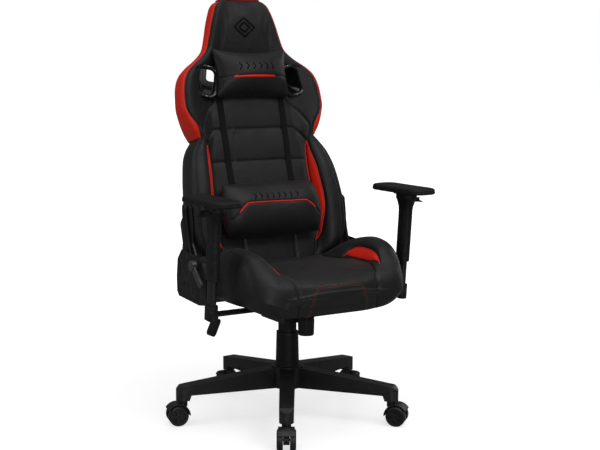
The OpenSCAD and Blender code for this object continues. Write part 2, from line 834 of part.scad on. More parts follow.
module back_cushion() {
    cavity_v = 30;
    // A resize to no new size keeps this one smooth-skinned mesh
    color(leather) resize([0, 0, 0]) in_back() difference() {
        loft([for (s = back_stations) back_ring(s)]);
        // Sealed space that the steel frame lies in
        translate([-190.4, cavity_v, 50]) cube([380.8, 24, 500.4]);
        // Passages for the frame's side stubs
        for (w = [90, 150]) translate([0, cavity_v + 4, w]) rotate([0, 90, 0])
            cylinder(d = 16.8, h = 600, center = true);
        // Harness slots and the seats of their bezels
        for (side = [-1, 1]) at_slot(side) {
            translate([0, 0, -80]) linear_extrude(220) bezel_tube(0.3);
            translate([0, 0, -80]) linear_extrude(68) bezel_tube(6.3);
        }
    }
}

module back_frame() {
    tube = 22;
    v = 41;
    out_x = 190;
    low_w = 50.4;
    high_w = 550;
    color(steel_black) in_back() {
        for (s = [-1, 1]) {
            translate([s * (out_x - tube / 2), v, low_w]) cylinder(d = tube, h = high_w - low_w);
            for (w = [90, 150]) translate([s * (out_x - tube / 2), v - 7, w]) rotate([0, s * 90, 0])
                cylinder(d = 16, h = recline_arm_x - out_x + tube / 2);
        }
        for (w = [low_w + tube / 2 + 6, 300, high_w - tube / 2 - 6])
            translate([0, v, w]) rotate([0, 90, 0]) cylinder(d = tube - 2, h = 2 * out_x - tube, center = true);
    }
}

module slot_bezels() {
    wall = 5;
    color("#141416") in_back() for (side = [-1, 1]) at_slot(side) difference() {
        union() {
            translate([0, 0, -22]) linear_extrude(78) bezel_tube(0);
            translate([0, 0, -22]) linear_extrude(10) bezel_tube(6);
        }
        translate([0, 0, -40]) linear_extrude(140) bezel_tube(-wall);
    }
}

// Pillows and straps

// Pillow ring at height w: half width, thickness, and how far its edges and its rear stand off the back
function pillow_ring(w, half, thick, edge, rear = 4.5) = [for (p = whole([
    [0, -thick], [half * 0.7, -thick], [half, -edge - 7], [half, -edge],
    [half * 0.68, -rear], [half * 0.4, -rear], [0, -rear]
])) [p[0], p[1], w]];

head_pillow_stations = [
    [532, 133, 40, 30, 4.5], [540, 132, 50, 31, 4.5], [572, 124, 68, 31, 4.5], [614, 121, 76, 30, 4.5],
    [652, 123, 72, 31, 9], [678, 130, 60, 34, 15], [690, 133, 48, 36, 17]
];

lumbar_pillow_stations = [
    [92, 150, 48, 16], [104, 158, 68, 22], [140, 166, 84, 32], [185, 168, 86, 34],
    [228, 166, 80, 34], [252, 158, 66, 26], [262, 148, 44, 18]
];

module head_pillow() {
    color(leather) in_back() loft([for (s = head_pillow_stations) pillow_ring(s[0], s[1], s[2], s[3], s[4])]);
}

module lumbar_pillow() {
    color(leather) in_back() loft([for (s = lumbar_pillow_stations) pillow_ring(s[0], s[1], s[2], s[3])]);
}

module pillow_straps() {
    strap_w = 21;
    color("#121213") in_back() for (s = [-1, 1])
        translate([s * 108 - strap_w / 2, -3.2, 264]) cube([strap_w, 2.4, 330]);
}

// Nodes

star_base();
column_tube();
thrust_bearing();
column_cover_lower();
for (i = [0 : caster_count - 1]) {
    caster_housing(i);
    caster_wheel(i, 1);
    caster_wheel(i, -1);
}
piston_rod();
gas_cylinder();
valve_pin();
column_cover_upper();
mechanism_housing();
tilt_shaft();
tilt_spring();
lever_carrier();
height_lever();
lever_paddle();
tension_bolt();
tension_knob();
seat_plate();
seat_frame();
seat_bolts();
seat_cushion();
arm_foot_caps();
recliner_plates();
recliner_covers();
recline_lever();
for (k = [0, 1]) {
    side = k == 0 ? 1 : -1;
    arm_bracket(side);
    arm_sleeve(side);
    arm_trigger(side);
    arm_swivel(side);
    arm_slide(side);
    arm_pad(side);
}
back_frame();
back_cushion();
recliner_arms();
recliner_shaft();
recliner_arm_covers();
head_pillow();
lumbar_pillow();
pillow_straps();
slot_bezels();
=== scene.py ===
import json
import math

import bpy
import numpy as np
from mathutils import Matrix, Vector
from mathutils.bvhtree import BVHTree


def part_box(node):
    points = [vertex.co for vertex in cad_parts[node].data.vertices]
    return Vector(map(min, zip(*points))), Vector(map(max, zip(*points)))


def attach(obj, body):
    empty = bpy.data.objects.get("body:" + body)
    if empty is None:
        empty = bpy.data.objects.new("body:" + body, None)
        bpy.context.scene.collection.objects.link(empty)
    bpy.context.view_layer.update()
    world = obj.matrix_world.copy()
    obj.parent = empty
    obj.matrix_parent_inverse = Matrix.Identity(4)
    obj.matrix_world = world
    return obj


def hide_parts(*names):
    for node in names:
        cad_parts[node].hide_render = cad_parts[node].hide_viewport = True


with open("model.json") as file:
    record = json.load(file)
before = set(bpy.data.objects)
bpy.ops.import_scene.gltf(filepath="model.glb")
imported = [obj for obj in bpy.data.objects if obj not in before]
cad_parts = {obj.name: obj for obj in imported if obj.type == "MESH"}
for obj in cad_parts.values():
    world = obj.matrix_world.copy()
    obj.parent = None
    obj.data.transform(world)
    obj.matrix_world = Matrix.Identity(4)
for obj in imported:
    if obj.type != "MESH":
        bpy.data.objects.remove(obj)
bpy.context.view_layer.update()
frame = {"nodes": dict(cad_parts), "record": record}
SC = bpy.context.scene
NODES = frame["nodes"]
SLOT_OF = {s["node"]: s["material_slot"] for s in frame["record"]["subparts"]}

# The back's own frame: origin at the foot of its middle panel, leaning to the rear
LEAN = math.radians(15.7)
FOOT = Vector((0, 0.087, 0.450))


def back_point(x, v, w):
    """Row-frame point of (x, v, w): v through the back to the rear, w up it."""
    return Vector(
        (x, FOOT.y + v * math.cos(LEAN) + w * math.sin(LEAN), FOOT.z - v * math.sin(LEAN) + w * math.cos(LEAN))
    )


def back_points(p):
    """The same for an array of points."""
    p = np.asarray(p, float)
    x, v, w = p[:, 0], p[:, 1], p[:, 2]
    c, s = math.cos(LEAN), math.sin(LEAN)
    return np.stack([x, FOOT.y + v * c + w * s, FOOT.z - v * s + w * c], 1)


def to_local(co):
    """The way back, from the row's frame to (x, v, w)."""
    c, s = math.cos(LEAN), math.sin(LEAN)
    y, z = co[:, 1] - FOOT.y, co[:, 2] - FOOT.z
    return np.stack([co[:, 0], y * c - z * s, y * s + z * c], 1)


# ---------------- materials


class Nodes:
    """A material with short calls for its nodes."""

    def __init__(self, name):
        self.mat = bpy.data.materials.new(name)
        self.mat.use_nodes = True
        self.tree = self.mat.node_tree
        self.bsdf = self.tree.nodes["Principled BSDF"]

    def new(self, kind, **inputs):
        node = self.tree.nodes.new(kind)
        for key, value in inputs.items():
            if key[0].islower():
                setattr(node, key, value)
            else:
                self.put(node.inputs[key.replace("_", " ")], value)
        return node

    def put(self, socket, value):
        if isinstance(value, bpy.types.NodeSocket):
            self.tree.links.new(value, socket)
        else:
            socket.default_value = value

    def set(self, **inputs):
        for key, value in inputs.items():
            self.put(self.bsdf.inputs[key.replace("_", " ")], value)

    def coords(self, scale=(1, 1, 1)):
        tex = self.new("ShaderNodeTexCoord")
        return self.new("ShaderNodeMapping", Vector=tex.outputs["Object"], Scale=scale).outputs[0]

    def noise(self, scale, detail=3.0, rough=0.55, where=None):
        return self.new(
            "ShaderNodeTexNoise", Vector=where or self.coords(), Scale=scale, Detail=detail, Roughness=rough
        ).outputs["Fac"]

    def attribute(self, name):
        return self.new("ShaderNodeAttribute", attribute_name=name).outputs["Fac"]

    def span(self, value, low, high, to_low=0.0, to_high=1.0, smooth=False):
        node = self.new("ShaderNodeMapRange", Value=value)
        node.interpolation_type = "SMOOTHSTEP" if smooth else "LINEAR"
        for key, number in (("From Min", low), ("From Max", high), ("To Min", to_low), ("To Max", to_high)):
            node.inputs[key].default_value = number
        return node.outputs[0]

    def math(self, operation, a, b=0.0):
        node = self.new("ShaderNodeMath", operation=operation)
        self.put(node.inputs[0], a)
        self.put(node.inputs[1], b)
        return node.outputs[0]

    def mix(self, factor, a, b):
        node = self.new("ShaderNodeMix", data_type="RGBA")
        self.put(node.inputs["Factor"], factor)
        self.put(node.inputs[6], a)
        self.put(node.inputs[7], b)
        return node.outputs[2]

    def bump(self, height, strength, distance, before=None):
        node = self.new("ShaderNodeBump", Height=height, Strength=strength, Distance=distance)
        if before is not None:
            self.put(node.inputs["Normal"], before)
        return node.outputs[0]


def rgba(r, g, b):
    return (r, g, b, 1.0)


BLACK = rgba(0.0105, 0.0105, 0.0112)
BLACK_2 = rgba(0.0165, 0.0162, 0.0165)
RED = rgba(0.950, 0.0210, 0.0020)
RED_2 = rgba(0.800, 0.0150, 0.0015)


def leather(name, colour, colour_2, roughness=0.46, sewn=False, coat=0.06):
    """Coated leather: pebbled grain, fine pores, slow colour drift, and painted shade that darkens the seam
    grooves.
    """
    m = Nodes(name)
    where = m.coords()
    drift = m.span(m.noise(9.0, 4.0, where=where), 0.3, 0.7)
    base = m.mix(drift, colour, colour_2)
    if sewn:
        red = m.mix(drift, RED, RED_2)
        base = m.mix(m.span(m.attribute("red"), -0.0006, 0.0006), base, red)
        # Painted shade: the leather colour is darkened close to each seam, standing in for shade in its groove
        painted_seam_shade = m.span(m.attribute("seam"), 0.0008, 0.0042, smooth=True)
        base = m.mix(painted_seam_shade, rgba(0.004, 0.003, 0.003), base)
    grain = m.new("ShaderNodeTexVoronoi", feature="SMOOTH_F1", Vector=where, Scale=720.0, Smoothness=0.35)
    pores = m.noise(2300.0, 2.0, where=where)
    wrinkle = m.noise(55.0, 5.0, 0.6, where=where)
    patches = m.math("ADD", m.noise(28.0, 4.0, where=where), m.math("MULTIPLY", grain.outputs["Distance"], 0.3))
    rough = m.span(patches, 0.35, 0.95, roughness - 0.09, roughness + 0.12)
    b = m.bump(wrinkle, 0.35, 0.0022)
    b = m.bump(grain.outputs["Distance"], 0.5, 0.00042, b)
    b = m.bump(pores, 0.25, 0.00015, b)
    m.set(Base_Color=base, Roughness=rough, Specular_IOR_Level=0.34, Normal=b)
    m.set(Coat_Weight=coat, Coat_Roughness=0.34, Sheen_Weight=0.04, Sheen_Roughness=0.5)
    return m.mat


def plastic(name, colour, colour_2, roughness, grain=0.0004, edge=0.0012, specular=0.45, scale=900.0, coat=0.0):
    """Moulded plastic: eroded-mould texture, slow gloss drift, worn brighter edges, rounded corners."""
    m = Nodes(name)
    where = m.coords()
    drift = m.span(m.noise(14.0, 4.0, where=where), 0.3, 0.7)
    base = m.mix(drift, colour, colour_2)
    rub = m.new("ShaderNodeNewGeometry").outputs["Pointiness"]
    chance = m.span(m.noise(60.0, 5.0, where=where), 0.4, 0.65)
    wear = m.math("MULTIPLY", m.span(rub, 0.53, 0.62, smooth=True), chance)
    base = m.mix(m.math("MULTIPLY", wear, 0.35), base, rgba(0.07, 0.07, 0.073))
    rough = m.span(m.noise(32.0, 5.0, where=where), 0.3, 0.7, roughness - 0.06, roughness + 0.08)
    soft = m.new("ShaderNodeBevel", samples=4, Radius=edge).outputs[0]
    m.set(Base_Color=base, Roughness=rough, Specular_IOR_Level=specular, Coat_Weight=coat, Coat_Roughness=0.12)
    m.set(Normal=m.bump(m.noise(scale, 3.0, where=where), 0.4, grain, soft))
    return m.mat


def painted_steel(name, colour, roughness=0.38):
    """Powder coat on steel: orange peel, faint speckle."""
    m = Nodes(name)
    where = m.coords()
    speck = m.span(m.noise(420.0, 2.0, where=where), 0.35, 0.7)
    rough = m.span(m.noise(90.0, 4.0, where=where), 0.3, 0.7, roughness - 0.07, roughness + 0.1)
    soft = m.new("ShaderNodeBevel", samples=4, Radius=0.0008).outputs[0]
    m.set(Base_Color=m.mix(speck, colour, tuple(min(1, c * 1.5) for c in colour[:3]) + (1,)), Roughness=rough)
    m.set(Specular_IOR_Level=0.5, Normal=m.bump(m.noise(520.0, 2.0, where=where), 0.35, 0.0003, soft))
    return m.mat


def bare_steel(name, colour=rgba(0.55, 0.55, 0.56), roughness=0.3):
    """Turned or drawn bright steel with fine lines and a little tarnish."""
    m = Nodes(name)
    lines = m.noise(60.0, 4.0, where=m.coords((1, 1, 40)))
    tarnish = m.span(m.noise(40.0, 4.0), 0.4, 0.75)
    m.set(Base_Color=m.mix(tarnish, colour, rgba(0.33, 0.32, 0.31)), Metallic=1.0)
    rough = m.span(lines, 0.3, 0.7, roughness - 0.1, roughness + 0.12)
    m.set(Roughness=rough, Normal=m.bump(lines, 0.2, 0.0002))
    return m.mat


def webbing(name):
    """Woven strap: diagonal ribs and dark gaps between yarns, from its own length and width attributes."""
    m = Nodes(name)
    along, across = m.attribute("along"), m.attribute("across")
    a = m.math("SINE", m.math("MULTIPLY", m.math("ADD", along, across), 2600.0))
    b = m.math("SINE", m.math("MULTIPLY", m.math("SUBTRACT", along, across), 2600.0))
    weave = m.math("MAXIMUM", a, b)
    gaps, yarn = rgba(0.0015, 0.0015, 0.0015), rgba(0.006, 0.006, 0.0063)
    rough = m.span(m.noise(220.0, 3.0), 0.3, 0.7, 0.62, 0.85)
    m.set(Base_Color=m.mix(m.span(weave, -0.2, 1.0), gaps, yarn), Roughness=rough)
    m.set(Sheen_Weight=0.05, Specular_IOR_Level=0.25, Normal=m.bump(weave, 0.6, 0.0004))
    return m.mat


def thread(name, colour):
    m = Nodes(name)
    twist = m.noise(1500.0, 2.0)
    m.set(Base_Color=m.mix(m.span(twist, 0.3, 0.7), colour, tuple(c * 0.6 for c in colour[:3]) + (1,)))
    m.set(Roughness=m.span(twist, 0.3, 0.7, 0.5, 0.75), Sheen_Weight=0.2, Normal=m.bump(twist, 0.5, 0.0002))
    return m.mat


M_LEATHER = leather("leather_two_tone", BLACK, BLACK_2, sewn=True)
M_PILLOW = leather("leather_pillow", BLACK, BLACK_2, roughness=0.44, sewn=True)
M_RED = leather("leather_red", RED, RED_2, roughness=0.4)
M_PIPING = leather("leather_black_piping", BLACK, BLACK_2, roughness=0.42)
M_BASE = plastic("base_plastic", rgba(0.0105, 0.0105, 0.011), rgba(0.016, 0.016, 0.0165), 0.42, grain=0.00035)
M_TRIM = plastic("trim_plastic", rgba(0.0070, 0.0070, 0.0075), rgba(0.011, 0.011, 0.0115), 0.48, grain=0.0005,
                 specular=0.3)
M_WHEEL = plastic("wheel_plastic", rgba(0.010, 0.010, 0.0105), rgba(0.020, 0.020, 0.021), 0.34, edge=0.0009)
M_GLOSS = plastic("gloss_plastic", rgba(0.006, 0.006, 0.007), rgba(0.009, 0.009, 0.010), 0.16, grain=0.00005,
                  specular=0.5, coat=0.4)
M_MARK = plastic("mark_print", rgba(0.0012, 0.0012, 0.0013), rgba(0.0025, 0.0025, 0.0026), 0.55, grain=0.00005,
                 specular=0.15)
M_LEVER = plastic("lever_plastic", rgba(0.045, 0.045, 0.048), rgba(0.07, 0.07, 0.074), 0.26, 0.0001, coat=0.2)
M_PAD = plastic("pad_rubber", rgba(0.0085, 0.0085, 0.0090), rgba(0.014, 0.014, 0.0145), 0.60, grain=0.0006,
                edge=0.002, scale=600.0, specular=0.28)
M_PAINT = painted_steel("painted_steel", rgba(0.012, 0.012, 0.0125))
M_STEEL = bare_steel("bright_steel")
M_WEB = webbing("strap_webbing")
M_THREAD = thread("dark_thread", rgba(0.020, 0.020, 0.021))
M_RED_THREAD = thread("red_thread", rgba(0.40, 0.016, 0.008))

SLOT_MATERIAL = {
    "bright_steel": M_STEEL, "black_steel": M_PAINT, "base_plastic": M_BASE, "caster_wheel": M_WHEEL,
    "trim_plastic": M_TRIM, "gloss_black": M_GLOSS, "black_leather": M_PIPING, "arm_pad": M_PAD,
    "strap_webbing": M_WEB,
}
for node_name, node_object in NODES.items():
    node_object.data.materials.clear()
    node_object.data.materials.append(SLOT_MATERIAL[SLOT_OF[node_name]])
NODES["recline_lever"].data.materials[0] = M_LEVER


# ---------------- mesh helpers


def make(name, verts, faces, material, body, smooth=True):
    mesh = bpy.data.meshes.new(name)
    mesh.from_pydata([tuple(v) for v in verts], [], [tuple(int(i) for i in f) for f in faces])
    mesh.materials.append(material)
    mesh.update()
    if smooth:
        mesh.shade_smooth()
    obj = bpy.data.objects.new(name, mesh)
    SC.collection.objects.link(obj)
    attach(obj, body)
    return obj


def coords_of(mesh):
    co = np.empty(len(mesh.vertices) * 3)
    mesh.vertices.foreach_get("co", co)
    return co.reshape(-1, 3)


def set_coords(mesh, co):
    mesh.vertices.foreach_set("co", np.asarray(co, float).ravel())
    mesh.update()


def normals_of(mesh):
    n = np.empty(len(mesh.vertices) * 3, np.float32)
    mesh.vertex_normals.foreach_get("vector", n)
    return n.reshape(-1, 3).astype(float)


def set_attribute(mesh, name, values):
    a = mesh.attributes.get(name) or mesh.attributes.new(name, "FLOAT", "POINT")
    a.data.foreach_set("value", np.asarray(values, np.float32))


def point_values(mesh, name):
    values = np.empty(len(mesh.vertices), np.float32)
    mesh.attributes[name].data.foreach_get("value", values)
    return values


def apply_modifiers(obj):
    dg = bpy.context.evaluated_depsgraph_get()
    mesh = bpy.data.meshes.new_from_object(obj.evaluated_get(dg), preserve_all_data_layers=True, depsgraph=dg)
    obj.modifiers.clear()
    obj.data = mesh


def subdivide(obj, levels=1):
    m = obj.modifiers.new("sub", "SUBSURF")
    m.levels = m.render_levels = levels
    apply_modifiers(obj)
    obj.data.shade_smooth()


def pchip(x, y, q):
    """Smooth monotone interpolation of y(x) at q."""
    x, y, q = (np.asarray(a, float) for a in (x, y, q))
    h, d = np.diff(x), np.diff(y) / np.diff(x)
    m = np.zeros_like(y)
    w1, w2 = 2 * h[1:] + h[:-1], h[1:] + 2 * h[:-1]
    with np.errstate(divide="ignore", invalid="ignore"):
        mid = (w1 + w2) / (w1 / d[:-1] + w2 / d[1:])
    m[1:-1] = np.where(d[:-1] * d[1:] > 0, mid, 0)
    m[0], m[-1] = d[0], d[-1]
    i = np.clip(np.searchsorted(x, q) - 1, 0, len(x) - 2)
    t = (q - x[i]) / h[i]
    return (
        (2 * t**3 - 3 * t**2 + 1) * y[i] + (t**3 - 2 * t**2 + t) * h[i] * m[i]
        + (3 * t**2 - 2 * t**3) * y[i + 1] + (t**3 - t**2) * h[i] * m[i + 1]
    )


def ring_weights(control, step):
    """Sampling of a closed quadratic B-spline with that many control points, dense enough for step."""
    p = np.asarray(control, float)
    n = len(p)
    rows, places = [], []
    for i in range(n):
        a, b, c = (p[i - 1] + p[i]) / 2, p[i], (p[i] + p[(i + 1) % n]) / 2
        count = max(2, round((np.linalg.norm(b - a) + np.linalg.norm(c - b)) / step))
        for k in range(count):
            t = k / count
            row = np.zeros(n)
            row[i - 1] += (1 - t) ** 2 / 2
            row[i] += (1 - t) ** 2 / 2 + 2 * t * (1 - t) + t * t / 2
            row[(i + 1) % n] += t * t / 2
            rows.append(row)
            places.append(i + t - 0.5)
    return np.array(rows), np.array(places)


# Seam distance far from any seam, and depth in the red where there is none
NO_SEAM, NOWHERE_RED = 0.05, -0.05


def half_of(place):
    """Place on a ring of 16 counted down either side: 0 at the front middle, 8 at the rear middle."""
    place = np.abs(place)
    return np.where(place > 8, 16 - place, place)


def with_seams(seam, where, flat, paths):
    """Seam distances lowered to the nearest of some paths, at the points where that holds."""
    for path in paths:
        seam = np.where(where, np.minimum(seam, distance_to(flat, path)), seam)
    return seam


def sewn_in(obj, co, seam, red, crown, crown_width, groove, groove_width):
    """Panels crowned between their seams, the seams drawn in, and both distances kept for the leather."""
    rise = crown * (1 - np.exp(-seam / crown_width)) - groove * np.exp(-((seam / groove_width) ** 2))
    set_coords(obj.data, co + normals_of(obj.data) * rise[:, None])
    set_attribute(obj.data, "seam", seam)
    set_attribute(obj.data, "red", red)


def run_length(path):
    """Length along a path up to each of its points."""
    return np.concatenate([[0], np.cumsum(np.linalg.norm(np.diff(path, axis=0), axis=1))])


def ring_faces(n, m, closed=False):
    """Quads between m rings of n points each. When closed, the last ring joins the first."""
    return [[j * n + i, j * n + (i + 1) % n, (j + 1) % m * n + (i + 1) % n, (j + 1) % m * n + i]
            for j in range(m if closed else m - 1) for i in range(n)]


def end_fans(n, m):
    """Triangles that close m rings of n points to the two points that follow them, first ring first."""
    last = (m - 1) * n
    start = [[(i + 1) % n, i, n * m] for i in range(n)]
    return start + [[last + i, last + (i + 1) % n, n * m + 1] for i in range(n)]


def mirrored(half):
    """The whole closed outline of a half that starts and ends on x = 0."""
    half = np.asarray(half, float)
    other = half[-2:0:-1] * np.array([-1, 1])
    return np.concatenate([half, other])


def loft(name, rings, material, body):
    """Closed skin over equally long 3-D rings, with its two ends closed from their middles."""
    m, n = len(rings), len(rings[0])
    verts = np.concatenate([*rings, [np.mean(rings[0], 0)], [np.mean(rings[-1], 0)]])
    faces = [face[1:] + face[:1] for face in ring_faces(n, m)] + end_fans(n, m)
    return make(name, verts, faces, material, body)


def domed(rings, depth, axis, at_start):
    """Extra rings that round off the end of a list of rings over the given depth."""
    first = rings[0] if at_start else rings[-1]
    middle = first.mean(0)
    extra = []
    for share in (0.35, 0.68, 0.92, 1.0):
        scale = 1 - 0.16 * share**2 if share < 1 else 0.62
        lift = depth * math.sin(share * math.pi / 2)
        extra.append(middle + (first - middle) * scale + np.asarray(axis) * lift)
    return extra[::-1] + rings if at_start else rings + extra


def upholstered(name, body, table, control, stations, typical, step, along, start_depth, end_depth):
    """Skin whose section follows a table along one axis, and each vertex's place on its ring."""
    columns = np.stack([pchip(table[:, 0], column, stations) for column in table.T[1:]], 1)
    weights, places = ring_weights(control(columns[typical]), step)
    rings = [np.insert(weights @ control(row), along, station, 1) for station, row in zip(stations, columns)]
    axis = np.eye(3)[along]
    rings = domed(domed(rings, end_depth, axis, False), start_depth, -axis, True)
    obj = loft(name, rings, M_LEATHER, body)
    place = np.concatenate([np.tile(places, len(rings)), [0, 0]])
    set_attribute(obj.data, "place", place)
    return obj, place


def puff(obj, pins, pressure, frames, cap, stiffness=18.0, bending=0.6):
    """Cloth inflated from inside for some frames. Each point then moves at most cap from where it started."""
    start = coords_of(obj.data)
    group = obj.vertex_groups.new(name="pins")
    for level in np.unique(np.round(pins, 2)):
        if level > 0:
            group.add([int(i) for i in np.flatnonzero(np.round(pins, 2) == level)], float(level), "REPLACE")
    cloth = obj.modifiers.new("cloth", "CLOTH")
    s = cloth.settings
    s.quality = 4
    s.mass = 0.3
    s.tension_stiffness = s.compression_stiffness = stiffness
    s.shear_stiffness = stiffness * 0.4
    s.bending_stiffness = bending
    s.vertex_group_mass = "pins"
    s.use_pressure = True
    s.uniform_pressure_force = pressure
    s.effector_weights.gravity = 0
    cloth.collision_settings.use_collision = False
    for f in range(1, frames + 1):
        SC.frame_set(f)
    dg = bpy.context.evaluated_depsgraph_get()
    moved = coords_of(obj.evaluated_get(dg).to_mesh()) - start
    obj.evaluated_get(dg).to_mesh_clear()
    obj.modifiers.remove(cloth)
    obj.vertex_groups.clear()
    length = np.linalg.norm(moved, axis=1)
    moved *= (cap * np.tanh(length / cap) / np.maximum(length, 1e-9))[:, None]
    set_coords(obj.data, start + moved)
    SC.frame_set(1)


def smooth_path(points, step=0.004):
    """Catmull-Rom curve through points, in evenly spaced steps."""
    p = np.asarray(points, float)
    q = np.concatenate([[2 * p[0] - p[1]], p, [2 * p[-1] - p[-2]]])
    out = []
    for i in range(1, len(q) - 2):
        t = np.linspace(0, 1, 24, endpoint=False)[:, None]
        a, b, c, d = q[i - 1], q[i], q[i + 1], q[i + 2]
        square, cube = 2 * a - 5 * b + 4 * c - d, 3 * b - a - 3 * c + d
        out.append(0.5 * (2 * b + (c - a) * t + square * t**2 + cube * t**3))
    out = np.concatenate([*out, p[-1:]])
    length = run_length(out)
    even = np.linspace(0, length[-1], max(2, int(length[-1] / step) + 1))
    return np.stack([np.interp(even, length, out[:, k]) for k in range(out.shape[1])], 1)


def distance_to(points, path):
    """Least distance from each point to a polyline, in any number of dimensions."""
    best = np.full(len(points), 1e9)
    for a, b in zip(path[:-1], path[1:]):
        ab = b - a
        t = np.clip(((points - a) @ ab) / max(ab @ ab, 1e-12), 0, 1)
        best = np.minimum(best, np.linalg.norm(points - a - t[:, None] * ab, axis=1))
    return best


def signed_inside(points, loop):
    """Distance to a closed 2-D loop, positive inside it."""
    closed = np.concatenate([loop, loop[:1]])
    d = distance_to(points, closed)
    inside = np.zeros(len(points), bool)
    for (x1, y1), (x2, y2) in zip(closed[:-1], closed[1:]):
        crosses = (y1 > points[:, 1]) != (y2 > points[:, 1])
        if y1 != y2:
            inside ^= crosses & (points[:, 0] < (x2 - x1) * (points[:, 1] - y1) / (y2 - y1) + x1)
    return np.where(inside, d, -d)


def on_surface(obj, points, direction, lift=0.0):
    """Casts points along a direction on to an object. Returns the places and normals where they land."""
    tree = BVHTree.FromPolygons([v.co for v in obj.data.vertices], [p.vertices for p in obj.data.polygons])
    places, normals = [], []
    direction = Vector(direction).normalized()
    for p in points:
        hit, normal, _, _ = tree.ray_cast(Vector(p) - direction * 0.3, direction)
        if hit is not None:
            places.append(hit + normal * lift)
            normals.append(normal)
    return np.array(places), np.array(normals)


def tube_mesh(path, radius, sides, normals, flat=1.0):
    """Vertices and faces of a closed tube along a path, with round ends."""
    p = np.asarray(path, float)
    tangent = np.gradient(p, axis=0)
    tangent /= np.linalg.norm(tangent, axis=1)[:, None] + 1e-12
    side = np.cross(tangent, normals)
    side /= np.linalg.norm(side, axis=1)[:, None] + 1e-12
    up = np.cross(side, tangent)
    angles = np.arange(sides) * 2 * math.pi / sides
    ends = np.ones(len(p))
    ends[0] = ends[-1] = 0.55
    rings = [
        p[i] + ends[i] * radius * (np.outer(np.cos(angles), side[i]) + flat * np.outer(np.sin(angles), up[i]))
        for i in range(len(p))
    ]
    verts = np.concatenate(rings + [p[:1] - tangent[:1] * radius * 0.5, p[-1:] + tangent[-1:] * radius * 0.5])
    return verts, ring_faces(sides, len(p)) + end_fans(sides, len(p))


def joined(name, parts, material, body):
    """One object from a list of (verts, faces)."""
    verts, faces, base = [], [], 0
    for v, f in parts:
        verts.append(np.asarray(v))
        faces += [[i + base for i in face] for face in f]
        base += len(v)
    return make(name, np.concatenate(verts), faces, material, body)


def stitches(places, normals, length=0.0042, gap=0.0022, radius=0.00052):
    """Separate thread stitches laid end to end along a path that lies on a surface."""
    if len(places) < 2:
        return []
    run = run_length(places)
    at = lambda s, a: np.array([np.interp(s, run, a[:, k]) for k in range(3)])
    parts, s = [], gap
    while s + length < run[-1]:
        ends = [at(s + length * t, places) for t in (0, 0.5, 1)]
        n = at(s + length / 2, normals)
        n /= np.linalg.norm(n) + 1e-12
        arch = [ends[0] - n * radius * 0.9, ends[1] + n * radius * 0.7, ends[2] - n * radius * 0.9]
        parts.append(tube_mesh(arch, radius, 5, np.tile(n, (3, 1))))
        s += length + gap
    return parts


def rounded_rectangle(width, height, radius, count=8):
    """Outline round the origin, with count steps to each corner."""
    x, y = width / 2 - radius, height / 2 - radius
    pts = []
    for sign_x, sign_y, start in ((1, 1, 0), (-1, 1, 90), (-1, -1, 180), (1, -1, 270)):
        for k in range(count + 1):
            a = math.radians(start + 90 * k / count)
            pts.append((sign_x * x + radius * math.cos(a), sign_y * y + radius * math.sin(a)))
    return pts


def straight_path(corners, count):
    """Straight lines from corner to corner, count points to each."""
    return np.concatenate([np.linspace(a, b, count) for a, b in zip(corners[:-1], corners[1:])])


def offset_path(path, amount):
    """A 2-D path moved sideways by amount."""
    t = np.gradient(path, axis=0)
    t /= np.linalg.norm(t, axis=1)[:, None] + 1e-12
    return path + amount * np.stack([-t[:, 1], t[:, 0]], 1)


def sewn_beside(path, cast, flip, shifts=(0.0048, -0.0048), **sizes):
    """Rows of stitches beside a path, where cast(points) lays them on a surface."""
    rows = []
    for shift in shifts:
        rows += stitches(*cast(offset_path(smooth_path(path, 0.003), shift) * flip), **sizes)
    return rows


def both_sides(paths):
    """Paths in (x, ...) and their mirror images."""
    return [p for path in paths for p in (np.asarray(path), np.asarray(path) * np.array([-1, 1]))]


# ---------------- back

# w, half width, crest x, crest forward, inner foot x, side rear, middle front and middle rear, in mm
BACK = np.array([
    [0, 196, 176, 2, 142, 38, 2, 58], [10, 214, 190, 5, 153, 46, 0, 68], [25, 227, 197, 7, 161, 50, 0, 75],
    [40, 239, 201, 26, 167, 50, 0, 78], [75, 256, 206, 42, 172, 46, 0, 80],
    [131, 268, 206, 48, 174, 42, 0, 80], [193, 268, 203, 52, 175, 38, 0, 80],
    [245, 264, 200, 51, 174, 36, 0, 80], [300, 257, 196, 46, 171, 38, 0, 80],
    [354, 244, 192, 34, 169, 46, 0, 80], [385, 228, 187, 26, 165, 54, 0, 80],
    [406, 214, 182, 24, 157, 58, 0, 80], [440, 230, 195, 30, 154, 50, 0, 78],
    [475, 244, 207, 34, 152, 40, 0, 74], [512, 253, 215, 35, 152, 30, 0, 68],
    [560, 250, 211, 35, 148, 27, 0, 63], [590, 243, 204, 34, 144, 26, 0, 60],
    [610, 233, 195, 33, 138, 24, 0, 58], [634, 209, 173, 29, 122, 20, 2, 55],
    [660, 174, 140, 24, 104, 17, 5, 52], [691, 145, 120, 22, 92, 16, 10, 48],
    [730, 132, 109, 26, 84, 16, 17, 43], [770, 121, 99, 31, 74, 16, 24, 38],
    [805, 109, 88, 34, 62, 16, 28, 32], [832, 97, 75, 33, 50, 14, 29, 26], [847, 80, 58, 28, 36, 10, 24, 18],
]) / 1000


def back_control(row):
    half, crest, forward, foot, side_rear, front, rear = row
    return mirrored([
        [0, -front], [foot - 0.024, -front], [foot, -front], [crest, -forward], [half - 0.014, -forward],
        [half, 0.012 - forward], [half, side_rear], [half - 0.040, rear], [0, rear],
    ])


